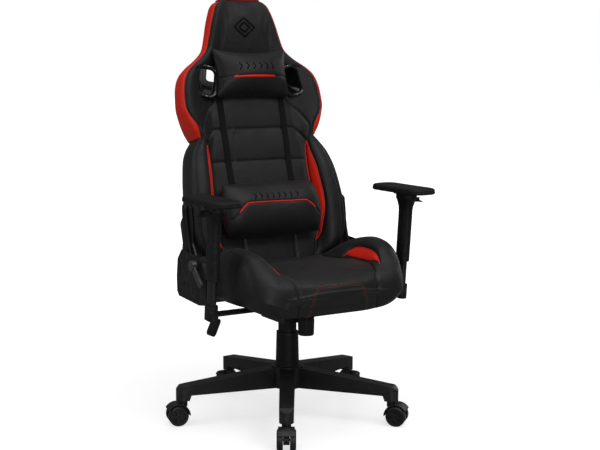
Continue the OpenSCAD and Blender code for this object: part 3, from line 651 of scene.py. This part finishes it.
BELL = [(0.0, 0.580), (0.070, 0.576), (0.118, 0.556), (0.140, 0.519), (0.164, 0.491), (0.181, 0.462),
        (0.190, 0.436), (0.187, 0.412), (0.178, 0.392)]
PANEL_TOP = [(0.0, 0.440), (0.132, 0.440), (0.149, 0.432), (0.162, 0.416), (0.172, 0.398), (0.178, 0.390)]
PANEL_MID = [(0.0, 0.338), (0.090, 0.338), (0.162, 0.336)]
LOW_SEAM = [(0.088, 0.004), (0.090, 0.070), (0.092, 0.128)]
LOW_BAR = [(0.0, 0.128), (0.092, 0.128), (0.172, 0.112)]
INSERT_IN = [(0.179, 0.390), (0.174, 0.372), (0.1725, 0.335), (0.173, 0.286), (0.176, 0.240), (0.179, 0.187),
             (0.180, 0.133), (0.177, 0.100), (0.1675, 0.070)]
INSERT_OUT = [(0.179, 0.390), (0.182, 0.364), (0.189, 0.318), (0.194, 0.262), (0.198, 0.208), (0.197, 0.166),
              (0.189, 0.118), (0.181, 0.088), (0.1675, 0.070)]
FOOT_LOW = [(0.1675, 0.070), (0.163, 0.045), (0.150, 0.006)]
HEAD_SEAM = [(0.0, 0.668), (0.060, 0.664), (0.092, 0.650), (0.118, 0.640), (0.150, 0.634), (0.185, 0.628)]

w_rows = np.unique(np.concatenate([np.arange(0, 0.847, 0.0065), [0.847]]))
back, place = upholstered("back_upholstery", "back", BACK, back_control, w_rows,
                          typical=45, step=0.0065, along=2, start_depth=0.006, end_depth=0.007)

FRONT_SEAMS = [smooth_path(p) for p in both_sides([
    BELL, PANEL_TOP, PANEL_MID, LOW_SEAM, LOW_BAR, INSERT_IN, INSERT_OUT, FOOT_LOW, HEAD_SEAM,
])]
# Yoke and side seams on the rear face
REAR_SEAMS = [smooth_path(p) for p in both_sides([
    [(0.0, 0.640), (0.09, 0.636), (0.15, 0.612), (0.172, 0.560), (0.168, 0.450), (0.182, 0.300),
     (0.190, 0.120), (0.170, 0.010)],
    [(0.0, 0.420), (0.08, 0.424), (0.168, 0.440)],
])]
WAIST, TOP_EDGE, REAR_EDGE = 0.408, 0.8478, 6.75


def back_fields(local, place):
    """Seam distance, and how far inside the red leather each point of the back lies."""
    flat, w = local[:, [0, 2]], local[:, 2]
    place = half_of(place)
    front = place < 4.6
    seam = with_seams(np.full(len(local), NO_SEAM), front, flat, FRONT_SEAMS)
    # Red band round the rim of the wings and the headrest
    border = 4.15 + 0.3 * np.clip((w - 0.60) / 0.06, 0, 1) - 0.75 * np.exp(-(((w - 0.445) / 0.03) ** 2))
    depth = np.where(place > 5, 0.0081 + (place - 5) * 0.05, (place - border) * 0.018)
    to_rear = (REAR_EDGE - place) * 0.04
    side = np.minimum(depth, np.where(place > 6.2, to_rear, 0.03))
    band = np.minimum(np.maximum(side, np.minimum(w - TOP_EDGE, 0.02)), w - WAIST)
    front_edge = np.where(place < 5.5, np.abs(depth) + np.where(w < 0.02, 1, 0), 1)
    rim = np.minimum(front_edge, np.where(place > 6, np.abs(to_rear), 1))
    rim = np.where(w > 0.840, np.minimum(np.abs(w - TOP_EDGE) + 0.0005, rim), rim)
    waist = np.where((place > border) & (place < REAR_EDGE), np.abs(w - WAIST), 1)
    seam = np.minimum(seam, np.minimum(rim, waist))
    # Red inserts on the inner faces of the wings
    insert = np.concatenate([smooth_path(INSERT_IN), smooth_path(INSERT_OUT)[::-1]])
    lens = np.where(front, signed_inside(np.abs(flat), insert), NOWHERE_RED)
    return with_seams(seam, place > 7, flat, REAR_SEAMS), np.maximum(band, lens)


SLOT_X, SLOT_W, SLOT_TURN = 0.152, 0.588, math.radians(12)
local = coords_of(back.data)
seam, red = back_fields(local, place)
half_place = half_of(place)
# The skin holds still round the slots, and where its side walls lie against the recliner's arms
by_slot = (np.abs(np.abs(local[:, 0]) - SLOT_X) < 0.048) & (np.abs(local[:, 2] - SLOT_W + 0.003) < 0.060)
by_arms = (half_place > 4.2) & (local[:, 2] < 0.225)
pins = np.maximum(np.clip(1.15 - seam / 0.020, 0, 1), np.where(half_place > 6.9, 0.82, 0))
pins = np.maximum(pins, np.where(by_slot | by_arms, 1, 0))
pins = np.maximum(pins, np.clip((0.03 - local[:, 2]) / 0.03, 0, 1))
set_coords(back.data, back_points(local))
puff(back, pins, pressure=1.7, frames=13, cap=0.0065, stiffness=22.0)
subdivide(back, 1)
co = coords_of(back.data)
local = to_local(co)
place_now = point_values(back.data, "place")
# The place attribute jumps where the ring closes, so points between 15.5 and -0.5 belong to the front middle
place_now = np.where((np.abs(local[:, 0]) < 0.012) & (local[:, 1] < 0.02), 0, place_now)
seam, red = back_fields(local, place_now.astype(float))
sewn_in(back, co, seam, red, crown=0.0016, crown_width=0.016, groove=0.0036, groove_width=0.0034)


def slot_frame(side, u, d, t):
    """Point of a slot's frame: u across, t up, d through the back. It narrows inward and up to the rear."""
    deep = max(d + 0.012, 0)
    u, t = u * max(1 - 5.2 * deep, 0.5), t * max(1 - 7.4 * deep, 0.4)
    x = side * (SLOT_X - 0.82 * deep) + u * math.cos(SLOT_TURN) - side * t * math.sin(SLOT_TURN)
    w = SLOT_W + 0.57 * deep + t * math.cos(SLOT_TURN) + side * u * math.sin(SLOT_TURN)
    return back_point(x, d, w)


# The harness slots are cut through the finished skin
cutters = []
for side in (1, -1):
    loop = rounded_rectangle(0.0560, 0.0860, 0.018)
    n = len(loop)
    verts = [slot_frame(side, u, d, t) for d in (-0.12, -0.012, 0.12) for u, t in loop]
    faces = [[face[0], *face[:0:-1]] for face in ring_faces(n, 3)]
    faces += [list(range(n)), list(range(2 * n, 3 * n))[::-1]]
    cutters.append((verts, faces))
cutter = joined("slot_cutter", cutters, M_LEATHER, "back")
cut = back.modifiers.new("slots", "BOOLEAN")
cut.operation, cut.solver, cut.object = "DIFFERENCE", "EXACT", cutter
apply_modifiers(back)
bpy.data.objects.remove(cutter)
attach(back, "back")
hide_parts("back_cushion")

# Bezels: rounded lips and a funnel through each slot, with small screws
for side, word in ((1, "left"), (-1, "right")):
    # Growth of the outline, and depth through the back
    profile = [(0.0002, 0.055), (-0.0024, 0.055), (-0.0026, 0.020), (-0.0026, -0.012), (-0.0012, -0.0180),
               (0.0026, -0.0218), (0.0062, -0.0226), (0.0090, -0.0216), (0.0102, -0.0180), (0.0100, -0.0130),
               (0.0060, -0.0122), (0.0002, -0.0122)]
    verts = []
    for grow, depth in profile:
        loop = rounded_rectangle(0.0545 + 2 * grow, 0.0845 + 2 * grow, 0.0172 + grow, 7)
        verts += [slot_frame(side, u, depth, t) for u, t in loop]
    faces = ring_faces(len(loop), len(profile), closed=True)
    bezel = make(f"slot_bezel_{word}", verts, faces, M_GLOSS, "back")
    edge = bezel.modifiers.new("edge", "BEVEL")
    edge.width, edge.segments, edge.limit_method, edge.angle_limit = 0.0006, 2, "ANGLE", math.radians(35)
    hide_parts("slot_bezels")
    screws, sides = [], 12
    for u, t in ((0.0, 0.0478), (0.0, -0.0478)):
        verts = []
        for r, lift in ((0.0024, 0.0), (0.0024, 0.0005), (0.0019, 0.0010), (0.0010, 0.0011), (0.0009, 0.0005)):
            verts += [slot_frame(side, u + r * math.cos(a), -0.0222 - lift, t + r * math.sin(a))
                      for a in np.linspace(0, 2 * math.pi, sides, endpoint=False)]
        last, tip = len(verts) - sides, len(verts)
        verts.append(slot_frame(side, u, -0.0229, t))
        cap = [[last + i, last + (i + 1) % sides, tip] for i in range(sides)]
        screws.append((verts, ring_faces(sides, 5) + cap))
    joined(f"bezel_screws_{word}", screws, M_STEEL, "back")

THROUGH = back_point(0, 1, 0) - back_point(0, 0, 0)


def back_path(points, lift=0.0):
    """Places and normals on the back's front for a path in (x, w)."""
    return on_surface(back, [back_point(x, 0.03, w) for x, w in points], THROUGH, lift)


# Piping along the red inserts, and thread beside the seams
red_piping, black_stitch = [], []
for sign in (1, -1):
    flip = np.array([sign, 1])
    for path in (INSERT_OUT, INSERT_IN):
        p, n = back_path(smooth_path(path, 0.006) * flip, 0.0002)
        red_piping.append(tube_mesh(p, 0.0019, 8, n))
    for path in (BELL, PANEL_TOP, PANEL_MID, HEAD_SEAM, LOW_BAR):
        black_stitch += sewn_beside(path, back_path, flip)
joined("back_red_piping", red_piping, M_RED, "back")
joined("back_stitching", black_stitch, M_THREAD, "back")


# ---------------- seat

# y, half width of the bottom, half width of the side, bottom z, top z, bolster z, in mm
SEAT = np.array([
    [-290, 150, 178, 396, 436, 430], [-286, 162, 205, 380, 452, 448], [-276, 176, 224, 368, 466, 466],
    [-258, 192, 238, 365, 478, 486], [-232, 214, 250, 368, 484, 515], [-200, 228, 258, 375, 487, 538],
    [-160, 240, 265, 380, 487, 549], [-120, 247, 268, 380, 487, 552], [-70, 248, 264, 380, 483, 545],
    [-20, 244, 257, 380, 479, 530], [25, 236, 250, 380, 478, 507], [50, 228, 242, 384, 478, 486],
    [60, 218, 232, 392, 469, 469],
]) / 1000


def seat_control(row):
    bottom, side, low, top, crest = row
    return mirrored([
        [0, top], [side - 0.118, top], [side - 0.096, top], [side - 0.062, crest],
        [side - 0.012, crest - 0.001], [side + 0.007, crest - 0.042], [side + 0.007, low + 0.045],
        [bottom, low], [0, low],
    ])


y_rows = [[-0.290, -0.2885, -0.286, -0.282], np.arange(-0.276, 0.060, 0.0062), [0.055, 0.060]]
y_rows = np.unique(np.concatenate(y_rows))
seat, place = upholstered("seat_upholstery", "seat", SEAT, seat_control, y_rows,
                          typical=30, step=0.0066, along=1, start_depth=0.004, end_depth=0.004)

# Paths on the seat: in (x, y) seen from above, or (x, z) seen from the front
SEAT_SIDE = [(0.150, 0.050), (0.158, -0.020), (0.170, -0.100), (0.168, -0.160), (0.160, -0.210),
             (0.146, -0.250), (0.136, -0.276)]
MOON = [(0.171, -0.052), (0.184, -0.070), (0.1925, -0.105), (0.1915, -0.155), (0.184, -0.205), (0.172, -0.245)]
MOON_BASE = [(0.172, -0.245), (0.166, -0.200), (0.1695, -0.155), (0.1705, -0.105), (0.171, -0.052)]
FRONT_SIDE = [(0.136, 0.466), (0.132, 0.430), (0.134, 0.372)]
ARCH = [(0.102, 0.368), (0.096, 0.398), (0.086, 0.432), (0.074, 0.449), (0.055, 0.4545), (0.0, 0.4555)]
TOP_BAR = [(0.0, 0.000), (0.080, 0.000), (0.156, -0.004)]
SEAT_SEAMS = [smooth_path(path) for path in both_sides([SEAT_SIDE, TOP_BAR])]
SEAT_FRONT_SEAMS = [smooth_path(path) for path in both_sides([FRONT_SIDE])]


def seat_fields(co, place):
    """Seam distance, and how far inside the red half moons each point of the seat lies."""
    above = (half_of(place) < 4.4) & (co[:, 1] > -0.279)
    ahead = (co[:, 1] < -0.262) & (co[:, 2] < 0.474)
    seam = with_seams(np.full(len(co), NO_SEAM), above, co[:, [0, 1]], SEAT_SEAMS)
    seam = with_seams(seam, ahead, co[:, [0, 2]], SEAT_FRONT_SEAMS)
    loop = np.concatenate([smooth_path(MOON), smooth_path(MOON_BASE)])
    moon = signed_inside(np.stack([np.abs(co[:, 0]), co[:, 1]], 1), loop)
    moon = np.where(above, moon, NOWHERE_RED)
    return np.where(above, np.minimum(seam, np.abs(moon)), seam), moon


local = coords_of(seat.data)
seam, red = seat_fields(local, place)
pins = np.maximum(np.clip(1.15 - seam / 0.022, 0, 1), np.where(half_of(place) > 6.4, 1, 0))
puff(seat, pins, pressure=2.6, frames=14, cap=0.010, stiffness=20.0)
subdivide(seat, 1)
co = coords_of(seat.data)
place_now = point_values(seat.data, "place")
place_now = np.where((np.abs(co[:, 0]) < 0.012) & (co[:, 2] > 0.44), 0, place_now)
seam, red = seat_fields(co, place_now.astype(float))
sewn_in(seat, co, seam, red, crown=0.0018, crown_width=0.018, groove=0.0038, groove_width=0.0036)
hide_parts("seat_cushion")


def seat_top_path(points, lift=0.0):
    return on_surface(seat, [(x, y, 0.5) for x, y in points], (0, 0, -1), lift)


def seat_front_path(points):
    return on_surface(seat, [(x, -0.2, z) for x, z in points], (0, 1, 0))


dark, bright, piping = [], [], []
for sign in (1, -1):
    flip = np.array([sign, 1])
    for path, cast in ((SEAT_SIDE, seat_top_path), (FRONT_SIDE, seat_front_path), (TOP_BAR, seat_top_path)):
        dark += sewn_beside(path, cast, flip)
    p, n = seat_top_path(smooth_path(MOON, 0.005) * flip, 0.0002)
    piping.append(tube_mesh(p, 0.0017, 8, n))
    bright += sewn_beside(ARCH, seat_front_path, flip, (0.0, 0.0065), length=0.005, gap=0.0014, radius=0.00085)
joined("seat_stitching", dark, M_THREAD, "seat")
joined("seat_red_stitching", bright, M_RED_THREAD, "seat")
joined("seat_red_piping", piping, M_RED, "seat")


# ---------------- pillows


def pillow(name, node, body, outline, front, rear, size, seams):
    """Two panels sewn along an edge, then inflated. outline(s, t) -> (x, w); front and rear(s, t) -> v."""
    nx, ny = size
    # Rows stand closer together near the edges
    turn = math.pi / 2 * 0.86
    s, t = (np.sin(np.linspace(-1, 1, count) * turn) / math.sin(turn) for count in (nx, ny))
    s, t = np.meshgrid(s, t, indexing="ij")
    x, w = outline(s, t)
    border = (np.abs(s) > 0.9999) | (np.abs(t) > 0.9999)
    vf, vr = front(s, t), rear(s, t)
    index = np.arange(nx * ny).reshape(nx, ny)
    verts = np.stack([x.ravel(), vf.ravel(), w.ravel()], 1)
    inner = ~border
    index_r = index.copy()
    index_r[inner] = nx * ny + np.arange(inner.sum())
    verts = np.concatenate([verts, np.stack([x[inner], vr[inner], w[inner]], 1)])
    faces = []
    for i in range(nx - 1):
        for j in range(ny - 1):
            faces.append([index[i, j], index[i + 1, j], index[i + 1, j + 1], index[i, j + 1]])
            faces.append([index_r[i, j], index_r[i, j + 1], index_r[i + 1, j + 1], index_r[i + 1, j]])
    flat = np.concatenate([np.stack([x.ravel(), w.ravel()], 1), np.stack([x[inner], w[inner]], 1)])
    is_front = np.concatenate([np.ones(nx * ny), np.zeros(inner.sum())])
    is_edge = np.concatenate([border.ravel().astype(float), np.zeros(inner.sum())])
    obj = make(name, back_points(verts), faces, M_PILLOW, body)
    paths = [smooth_path(path) for path in seams]
    seam = with_seams(np.full(len(flat), NO_SEAM), is_front > 0, flat, paths)
    pins = np.where(is_edge > 0, 0.9, 0.0)
    pins = np.maximum(pins, np.clip(0.75 - seam / 0.012, 0, 0.6))
    pins = np.maximum(pins, (is_front < 1) * 0.9)
    set_attribute(obj.data, "front", is_front)
    set_attribute(obj.data, "edge", is_edge)
    puff(obj, pins, pressure=3.2, frames=16, cap=0.010, stiffness=14.0, bending=0.8)
    subdivide(obj, 1)
    co = coords_of(obj.data)
    local = to_local(co)
    is_edge = point_values(obj.data, "edge")
    on_front = point_values(obj.data, "front") > 0.6
    seam = with_seams(np.full(len(co), NO_SEAM), on_front, local[:, [0, 2]], paths)
    red = np.full(len(co), NOWHERE_RED)
    sewn_in(obj, co, seam, red, crown=0, crown_width=1, groove=0.0028, groove_width=0.003)
    # Painted shade: the leather is also darkened along the pillow's sewn edge
    set_attribute(obj.data, "seam", np.minimum(seam, (1 - is_edge) * 0.006 + 0.0012))
    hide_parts(node)
    return obj


def bulge(s, t, sharp_s, sharp_t, power):
    """1 in the middle of a panel, falling to 0 at its edges."""
    return (np.clip(1 - np.abs(s) ** sharp_s, 0, 1) * np.clip(1 - np.abs(t) ** sharp_t, 0, 1)) ** power


def head_outline(s, t):
    corner = (s * t) ** 8
    x = s * (0.122 + 0.011 * t * t) * (1 - 0.05 * corner)
    w = 0.6075 + t * (0.0675 + np.where(t > 0, 0.017, 0.010) * s * s - 0.007 * corner)
    return x, w


def head_rim(s, t):
    """Where the sewn edge stands, in front of the back's middle panel."""
    return -(0.011 + 0.010 * np.clip(t, 0, 1) ** 2 + 0.016 * s**4)


def head_front(s, t):
    return head_rim(s, t) - 0.068 * bulge(s, t, 2.6, 2.2, 0.62)


def head_rear(s, t):
    middle = bulge(s, t, 4, 4, 0.5)
    rear_gap = -0.0052 - 0.014 * np.clip(t, 0, 1) ** 2 - 0.012 * s * s
    return head_rim(s, t) * (1 - middle) + rear_gap * middle


HEAD_MID = [(-0.118, 0.592), (-0.050, 0.5905), (0.0, 0.590), (0.050, 0.5905), (0.118, 0.592)]
head = pillow("head_pillow_soft", "head_pillow", "back", head_outline, head_front, head_rear,
              (52, 34), [HEAD_MID])


def lumbar_outline(s, t):
    x = 0.171 * s * np.sqrt(1 - 0.16 * t * t) * (1 + 0.012 * (1 - t))
    w = 0.1773 + 0.0873 * t * np.sqrt(1 - 0.14 * s * s)
    return x, w


def lumbar_rim(s, t):
    return -(0.020 + 0.016 * s * s)


def lumbar_front(s, t):
    return lumbar_rim(s, t) - 0.064 * bulge(s, t, 4.5, 2.4, 0.52)


def lumbar_rear(s, t):
    middle = bulge(s, t, 4, 4, 0.5)
    rear_gap = -0.0052 - 0.060 * np.clip(np.abs(s) - 0.62, 0, 1)
    return lumbar_rim(s, t) * (1 - middle) + rear_gap * middle


LUMBAR_PIPE = [(-0.158, 0.146), (-0.138, 0.161), (-0.108, 0.188), (-0.090, 0.1925), (0.0, 0.1925),
               (0.090, 0.1905), (0.108, 0.187), (0.138, 0.163), (0.158, 0.146)]
lumbar = pillow("lumbar_pillow_soft", "lumbar_pillow", "lumbar_pillow", lumbar_outline, lumbar_front,
                lumbar_rear, (66, 34), [LUMBAR_PIPE])


def pillow_path(obj, points, lift=0.0):
    return on_surface(obj, [back_point(x, -0.05, w) for x, w in points], THROUGH, lift)


p, n = pillow_path(lumbar, smooth_path(LUMBAR_PIPE, 0.005)[6:-6], 0.0006)
joined("lumbar_red_piping", [tube_mesh(p, 0.0026, 8, n)], M_RED, "lumbar_pillow")
p, n = pillow_path(head, smooth_path([(-0.080, 0.5905), (0.0, 0.590), (0.061, 0.5905)], 0.005), 0.0004)
joined("head_red_bar", [tube_mesh(p, 0.0045, 10, n, 0.5)], M_RED, "back")

# Sewn chevrons stand where each pillow has its lettering, and nested lozenges on the headrest
emblem, chevrons_head, chevrons_low = [], [], []
for scale in (1.0, 0.52):
    corners = [(0.0, 0.030), (0.036, 0.0), (0.0, -0.030), (-0.036, 0.0), (0.0, 0.030)]
    line = [(x * scale, 0.760 + w * scale) for x, w in corners]
    p, n = back_path(straight_path(line, 10), 0.0002)
    emblem.append(tube_mesh(p, 0.0032, 6, n, 0.4))
joined("headrest_emblem", emblem, M_MARK, "back")
for centre_w, count, pitch, tall, target, out in ((0.622, 6, 0.0225, 0.0115, head, chevrons_head),
                                                  (0.212, 8, 0.021, 0.0085, lumbar, chevrons_low)):
    for k in range(count):
        x0 = (k - (count - 1) / 2) * pitch
        lean = tall * 0.35
        line = [(x0 - lean, centre_w + tall), (x0 + lean, centre_w), (x0 - lean, centre_w - tall)]
        p, n = pillow_path(target, straight_path(line, 5), 0.0001)
        if len(p) > 3:
            out.append(tube_mesh(p, 0.0022, 6, n, 0.4))
joined("head_pillow_chevrons", chevrons_head, M_MARK, "back")
joined("lumbar_pillow_chevrons", chevrons_low, M_MARK, "lumbar_pillow")


# ---------------- straps

straps, along, across = [], [], []
for side in (1, -1):
    path = smooth_path([(0.106, 0.205), (0.107, 0.300), (0.109, 0.450), (0.110, 0.596)], 0.008)
    spread = (-0.0100, -0.005, 0.0, 0.005, 0.0100)
    profile = [(-0.0105, 0.0009)] + [(u, 0.0) for u in spread] + [(0.0105, 0.0009)]
    profile += [(u, 0.0018) for u in spread[::-1]]
    front = []
    for x, w in path:
        under, _ = back_path([(side * (x + u), w) for u in (-0.010, 0.0, 0.010)])
        front.append(min(to_local(under)[:, 1].min(), -0.0008) if len(under) else -0.0008)
    front = np.convolve(np.pad(front, 2, mode="edge"), np.ones(5) / 5, mode="valid")
    verts = []
    for (x, w), v in zip(path, front):
        verts += [back_point(side * (x + u), v - thick - 0.0006, w) for u, thick in profile]
        along += [w] * len(profile)
        across += [u for u, _ in profile]
    n = len(profile)
    faces = ring_faces(n, len(path)) + [list(range(n))[::-1], list(range(len(verts) - n, len(verts)))]
    straps.append((verts, faces))
strap = joined("pillow_straps_woven", straps, M_WEB, "back")
set_attribute(strap.data, "along", along)
set_attribute(strap.data, "across", across)
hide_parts("pillow_straps")


# ---------------- recliner arm covers

# (v, w) outline of a cover, in mm
COVER = [(-18, 46), (-13, 92), (-17, 144), (-21, 198), (-16, 211), (-7, 216), (2, 206), (8, 160), (20, 108),
         (36, 86), (37, 62), (32, 48), (20, 44), (0, 43)]
covers = []
for side in (1, -1):
    corners = np.array(COVER) / 1000
    # Each corner is cut at a quarter of its two edges
    following = np.roll(corners, -1, 0)
    loop = np.stack([0.75 * corners + 0.25 * following, 0.25 * corners + 0.75 * following], 1).reshape(-1, 2)
    centre, n = loop.mean(0), len(loop)
    verts = []
    for x, shrink in ((0.2757, 1.0), (0.2815, 1.0), (0.2835, 0.985), (0.2845, 0.94)):
        verts += [back_point(side * x, *(centre + (q - centre) * shrink)) for q in loop]
    verts += [back_point(side * 0.2757, *centre), back_point(side * 0.2848, *centre)]
    faces = ring_faces(n, 4) + end_fans(n, 4)
    covers.append((verts, faces if side < 0 else [face[::-1] for face in faces]))
cover = joined("recliner_arm_covers_moulded", covers, M_TRIM, "back")
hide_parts("recliner_arm_covers")


# ---------------- arm pads

for side, word in ((1, "left"), (-1, "right")):
    lo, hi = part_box(f"arm_pad_{word}")
    cx, cy = (lo.x + hi.x) / 2, (lo.y + hi.y) / 2
    wide, long, low, high = hi.x - lo.x, hi.y - lo.y, lo.z, hi.z
    # Inset, and height above the underside, of each ring of a pad 26.2 mm tall
    tall, count = (high - low) / 0.0262, 96
    profile = [(0.034, 0.0), (0.010, 0.0), (0.004, 0.0008), (0.0012, 0.003), (0.0, 0.0065), (0.0, 0.0100),
               (0.0006, 0.0112), (0.0016, 0.0118), (0.0006, 0.0126), (0.0004, 0.0160), (0.0020, 0.0205),
               (0.0055, 0.0240), (0.0105, 0.0256), (0.018, 0.0261), (0.030, 0.0262)]
    rings = []
    for grow, height in profile:
        radius = max(0.034 - grow * 0.9, 0.004)
        loop = rounded_rectangle(wide - 2 * grow, long - 2 * grow, radius)
        outline = np.array(loop + loop[:1]) + (cx, cy)
        run = run_length(outline)
        q = np.linspace(0, run[-1], count, endpoint=False)
        ring = np.stack([np.interp(q, run, outline[:, 0]), np.interp(q, run, outline[:, 1])], 1)
        # A shallow dish along the top
        dish = 0.0009 * np.cos((ring[:, 1] - cy) / (long / 2) * math.pi / 2) if height > 0.0255 else 0
        rings.append(np.column_stack([ring, low + height * tall - dish * np.ones(count)]))
    pad = loft(f"arm_pad_{word}_soft", rings, M_PAD, f"arm_pad_{word}")
    pins = np.where(coords_of(pad.data)[:, 2] < low + 0.020, 1.0, 0.35)
    puff(pad, pins, pressure=1.0, frames=8, cap=0.0015, stiffness=40.0, bending=4.0)
    subdivide(pad, 1)
    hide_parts(f"arm_pad_{word}")


# ---------------- stage, camera and light

floor_material = Nodes("floor")
# Seen directly the floor is white. What it sends back on to the chair is that of a grey floor
seen = floor_material.new("ShaderNodeLightPath").outputs["Is Camera Ray"]
floor_material.set(
    Base_Color=floor_material.mix(seen, rgba(0.30, 0.30, 0.30), rgba(0.86, 0.86, 0.86)), Roughness=0.16,
    Specular_IOR_Level=0.4, Emission_Color=rgba(1, 1, 1),
)
# The sweep brightens away from the object, so that no horizon shows
away = floor_material.new("ShaderNodeVectorMath", operation="LENGTH", Vector=floor_material.coords())
glow = floor_material.span(away.outputs["Value"], 0.5, 2.2, 0.66, 1.05, smooth=True)
floor_material.set(Emission_Strength=floor_material.math("MULTIPLY", glow, seen))
bpy.ops.mesh.primitive_plane_add(size=60, location=(0, 0, -0.0002))
floor = bpy.context.object
floor.name = "floor"
floor.data.materials.append(floor_material.mat)

world = bpy.data.worlds.new("studio")
SC.world = world
world.use_nodes = True
# White behind the object, and a dim room round it, so that the black leather stays black
nodes, links = world.node_tree.nodes, world.node_tree.links
dim, white = nodes["Background"], nodes.new("ShaderNodeBackground")
for background, strength in ((dim, 0.10), (white, 1.0)):
    background.inputs["Color"].default_value = rgba(1, 1, 1)
    background.inputs["Strength"].default_value = strength
choose = nodes.new("ShaderNodeMixShader")
links.new(nodes.new("ShaderNodeLightPath").outputs["Is Camera Ray"], choose.inputs[0])
links.new(dim.outputs[0], choose.inputs[1])
links.new(white.outputs[0], choose.inputs[2])
links.new(choose.outputs[0], nodes["World Output"].inputs[0])
SC.view_settings.view_transform = "Standard"


def area_light(name, place, target, size, power):
    data = bpy.data.lights.new(name, "AREA")
    data.shape, data.size, data.size_y, data.energy = "RECTANGLE", size[0], size[1], power
    light = bpy.data.objects.new(name, data)
    SC.collection.objects.link(light)
    light.location = place
    light.rotation_euler = (Vector(target) - Vector(place)).to_track_quat("-Z", "Y").to_euler()


area_light("key", (1.2, -2.6, 3.4), (0, 0, 0.7), (1.6, 1.0), 22)
area_light("front", (-1.4, -4.2, 1.5), (0, 0, 0.6), (2.0, 1.4), 30)
area_light("strip_left", (-3.2, 0.6, 1.7), (0, 0, 0.7), (0.7, 2.2), 10)
area_light("strip_right", (3.0, 0.9, 1.6), (0, 0, 0.7), (0.7, 2.2), 8)
sun = bpy.data.objects.new("sky", bpy.data.lights.new("sky", "SUN"))
sun.data.energy, sun.data.angle = 1.05, math.radians(70)
sun.rotation_euler = (math.radians(12), math.radians(-8), 0)
SC.collection.objects.link(sun)

camera_data = bpy.data.cameras.new("camera")
camera_data.lens = 71.54
camera_data.sensor_width = 36
camera_data.shift_x = 0.0211
camera = bpy.data.objects.new("camera", camera_data)
SC.collection.objects.link(camera)
camera.location = (-1.8208, -3.0818, 1.0826)
camera.rotation_euler = (Vector((0, 0, 0.5905)) - camera.location).to_track_quat("-Z", "Y").to_euler()
SC.camera = camera
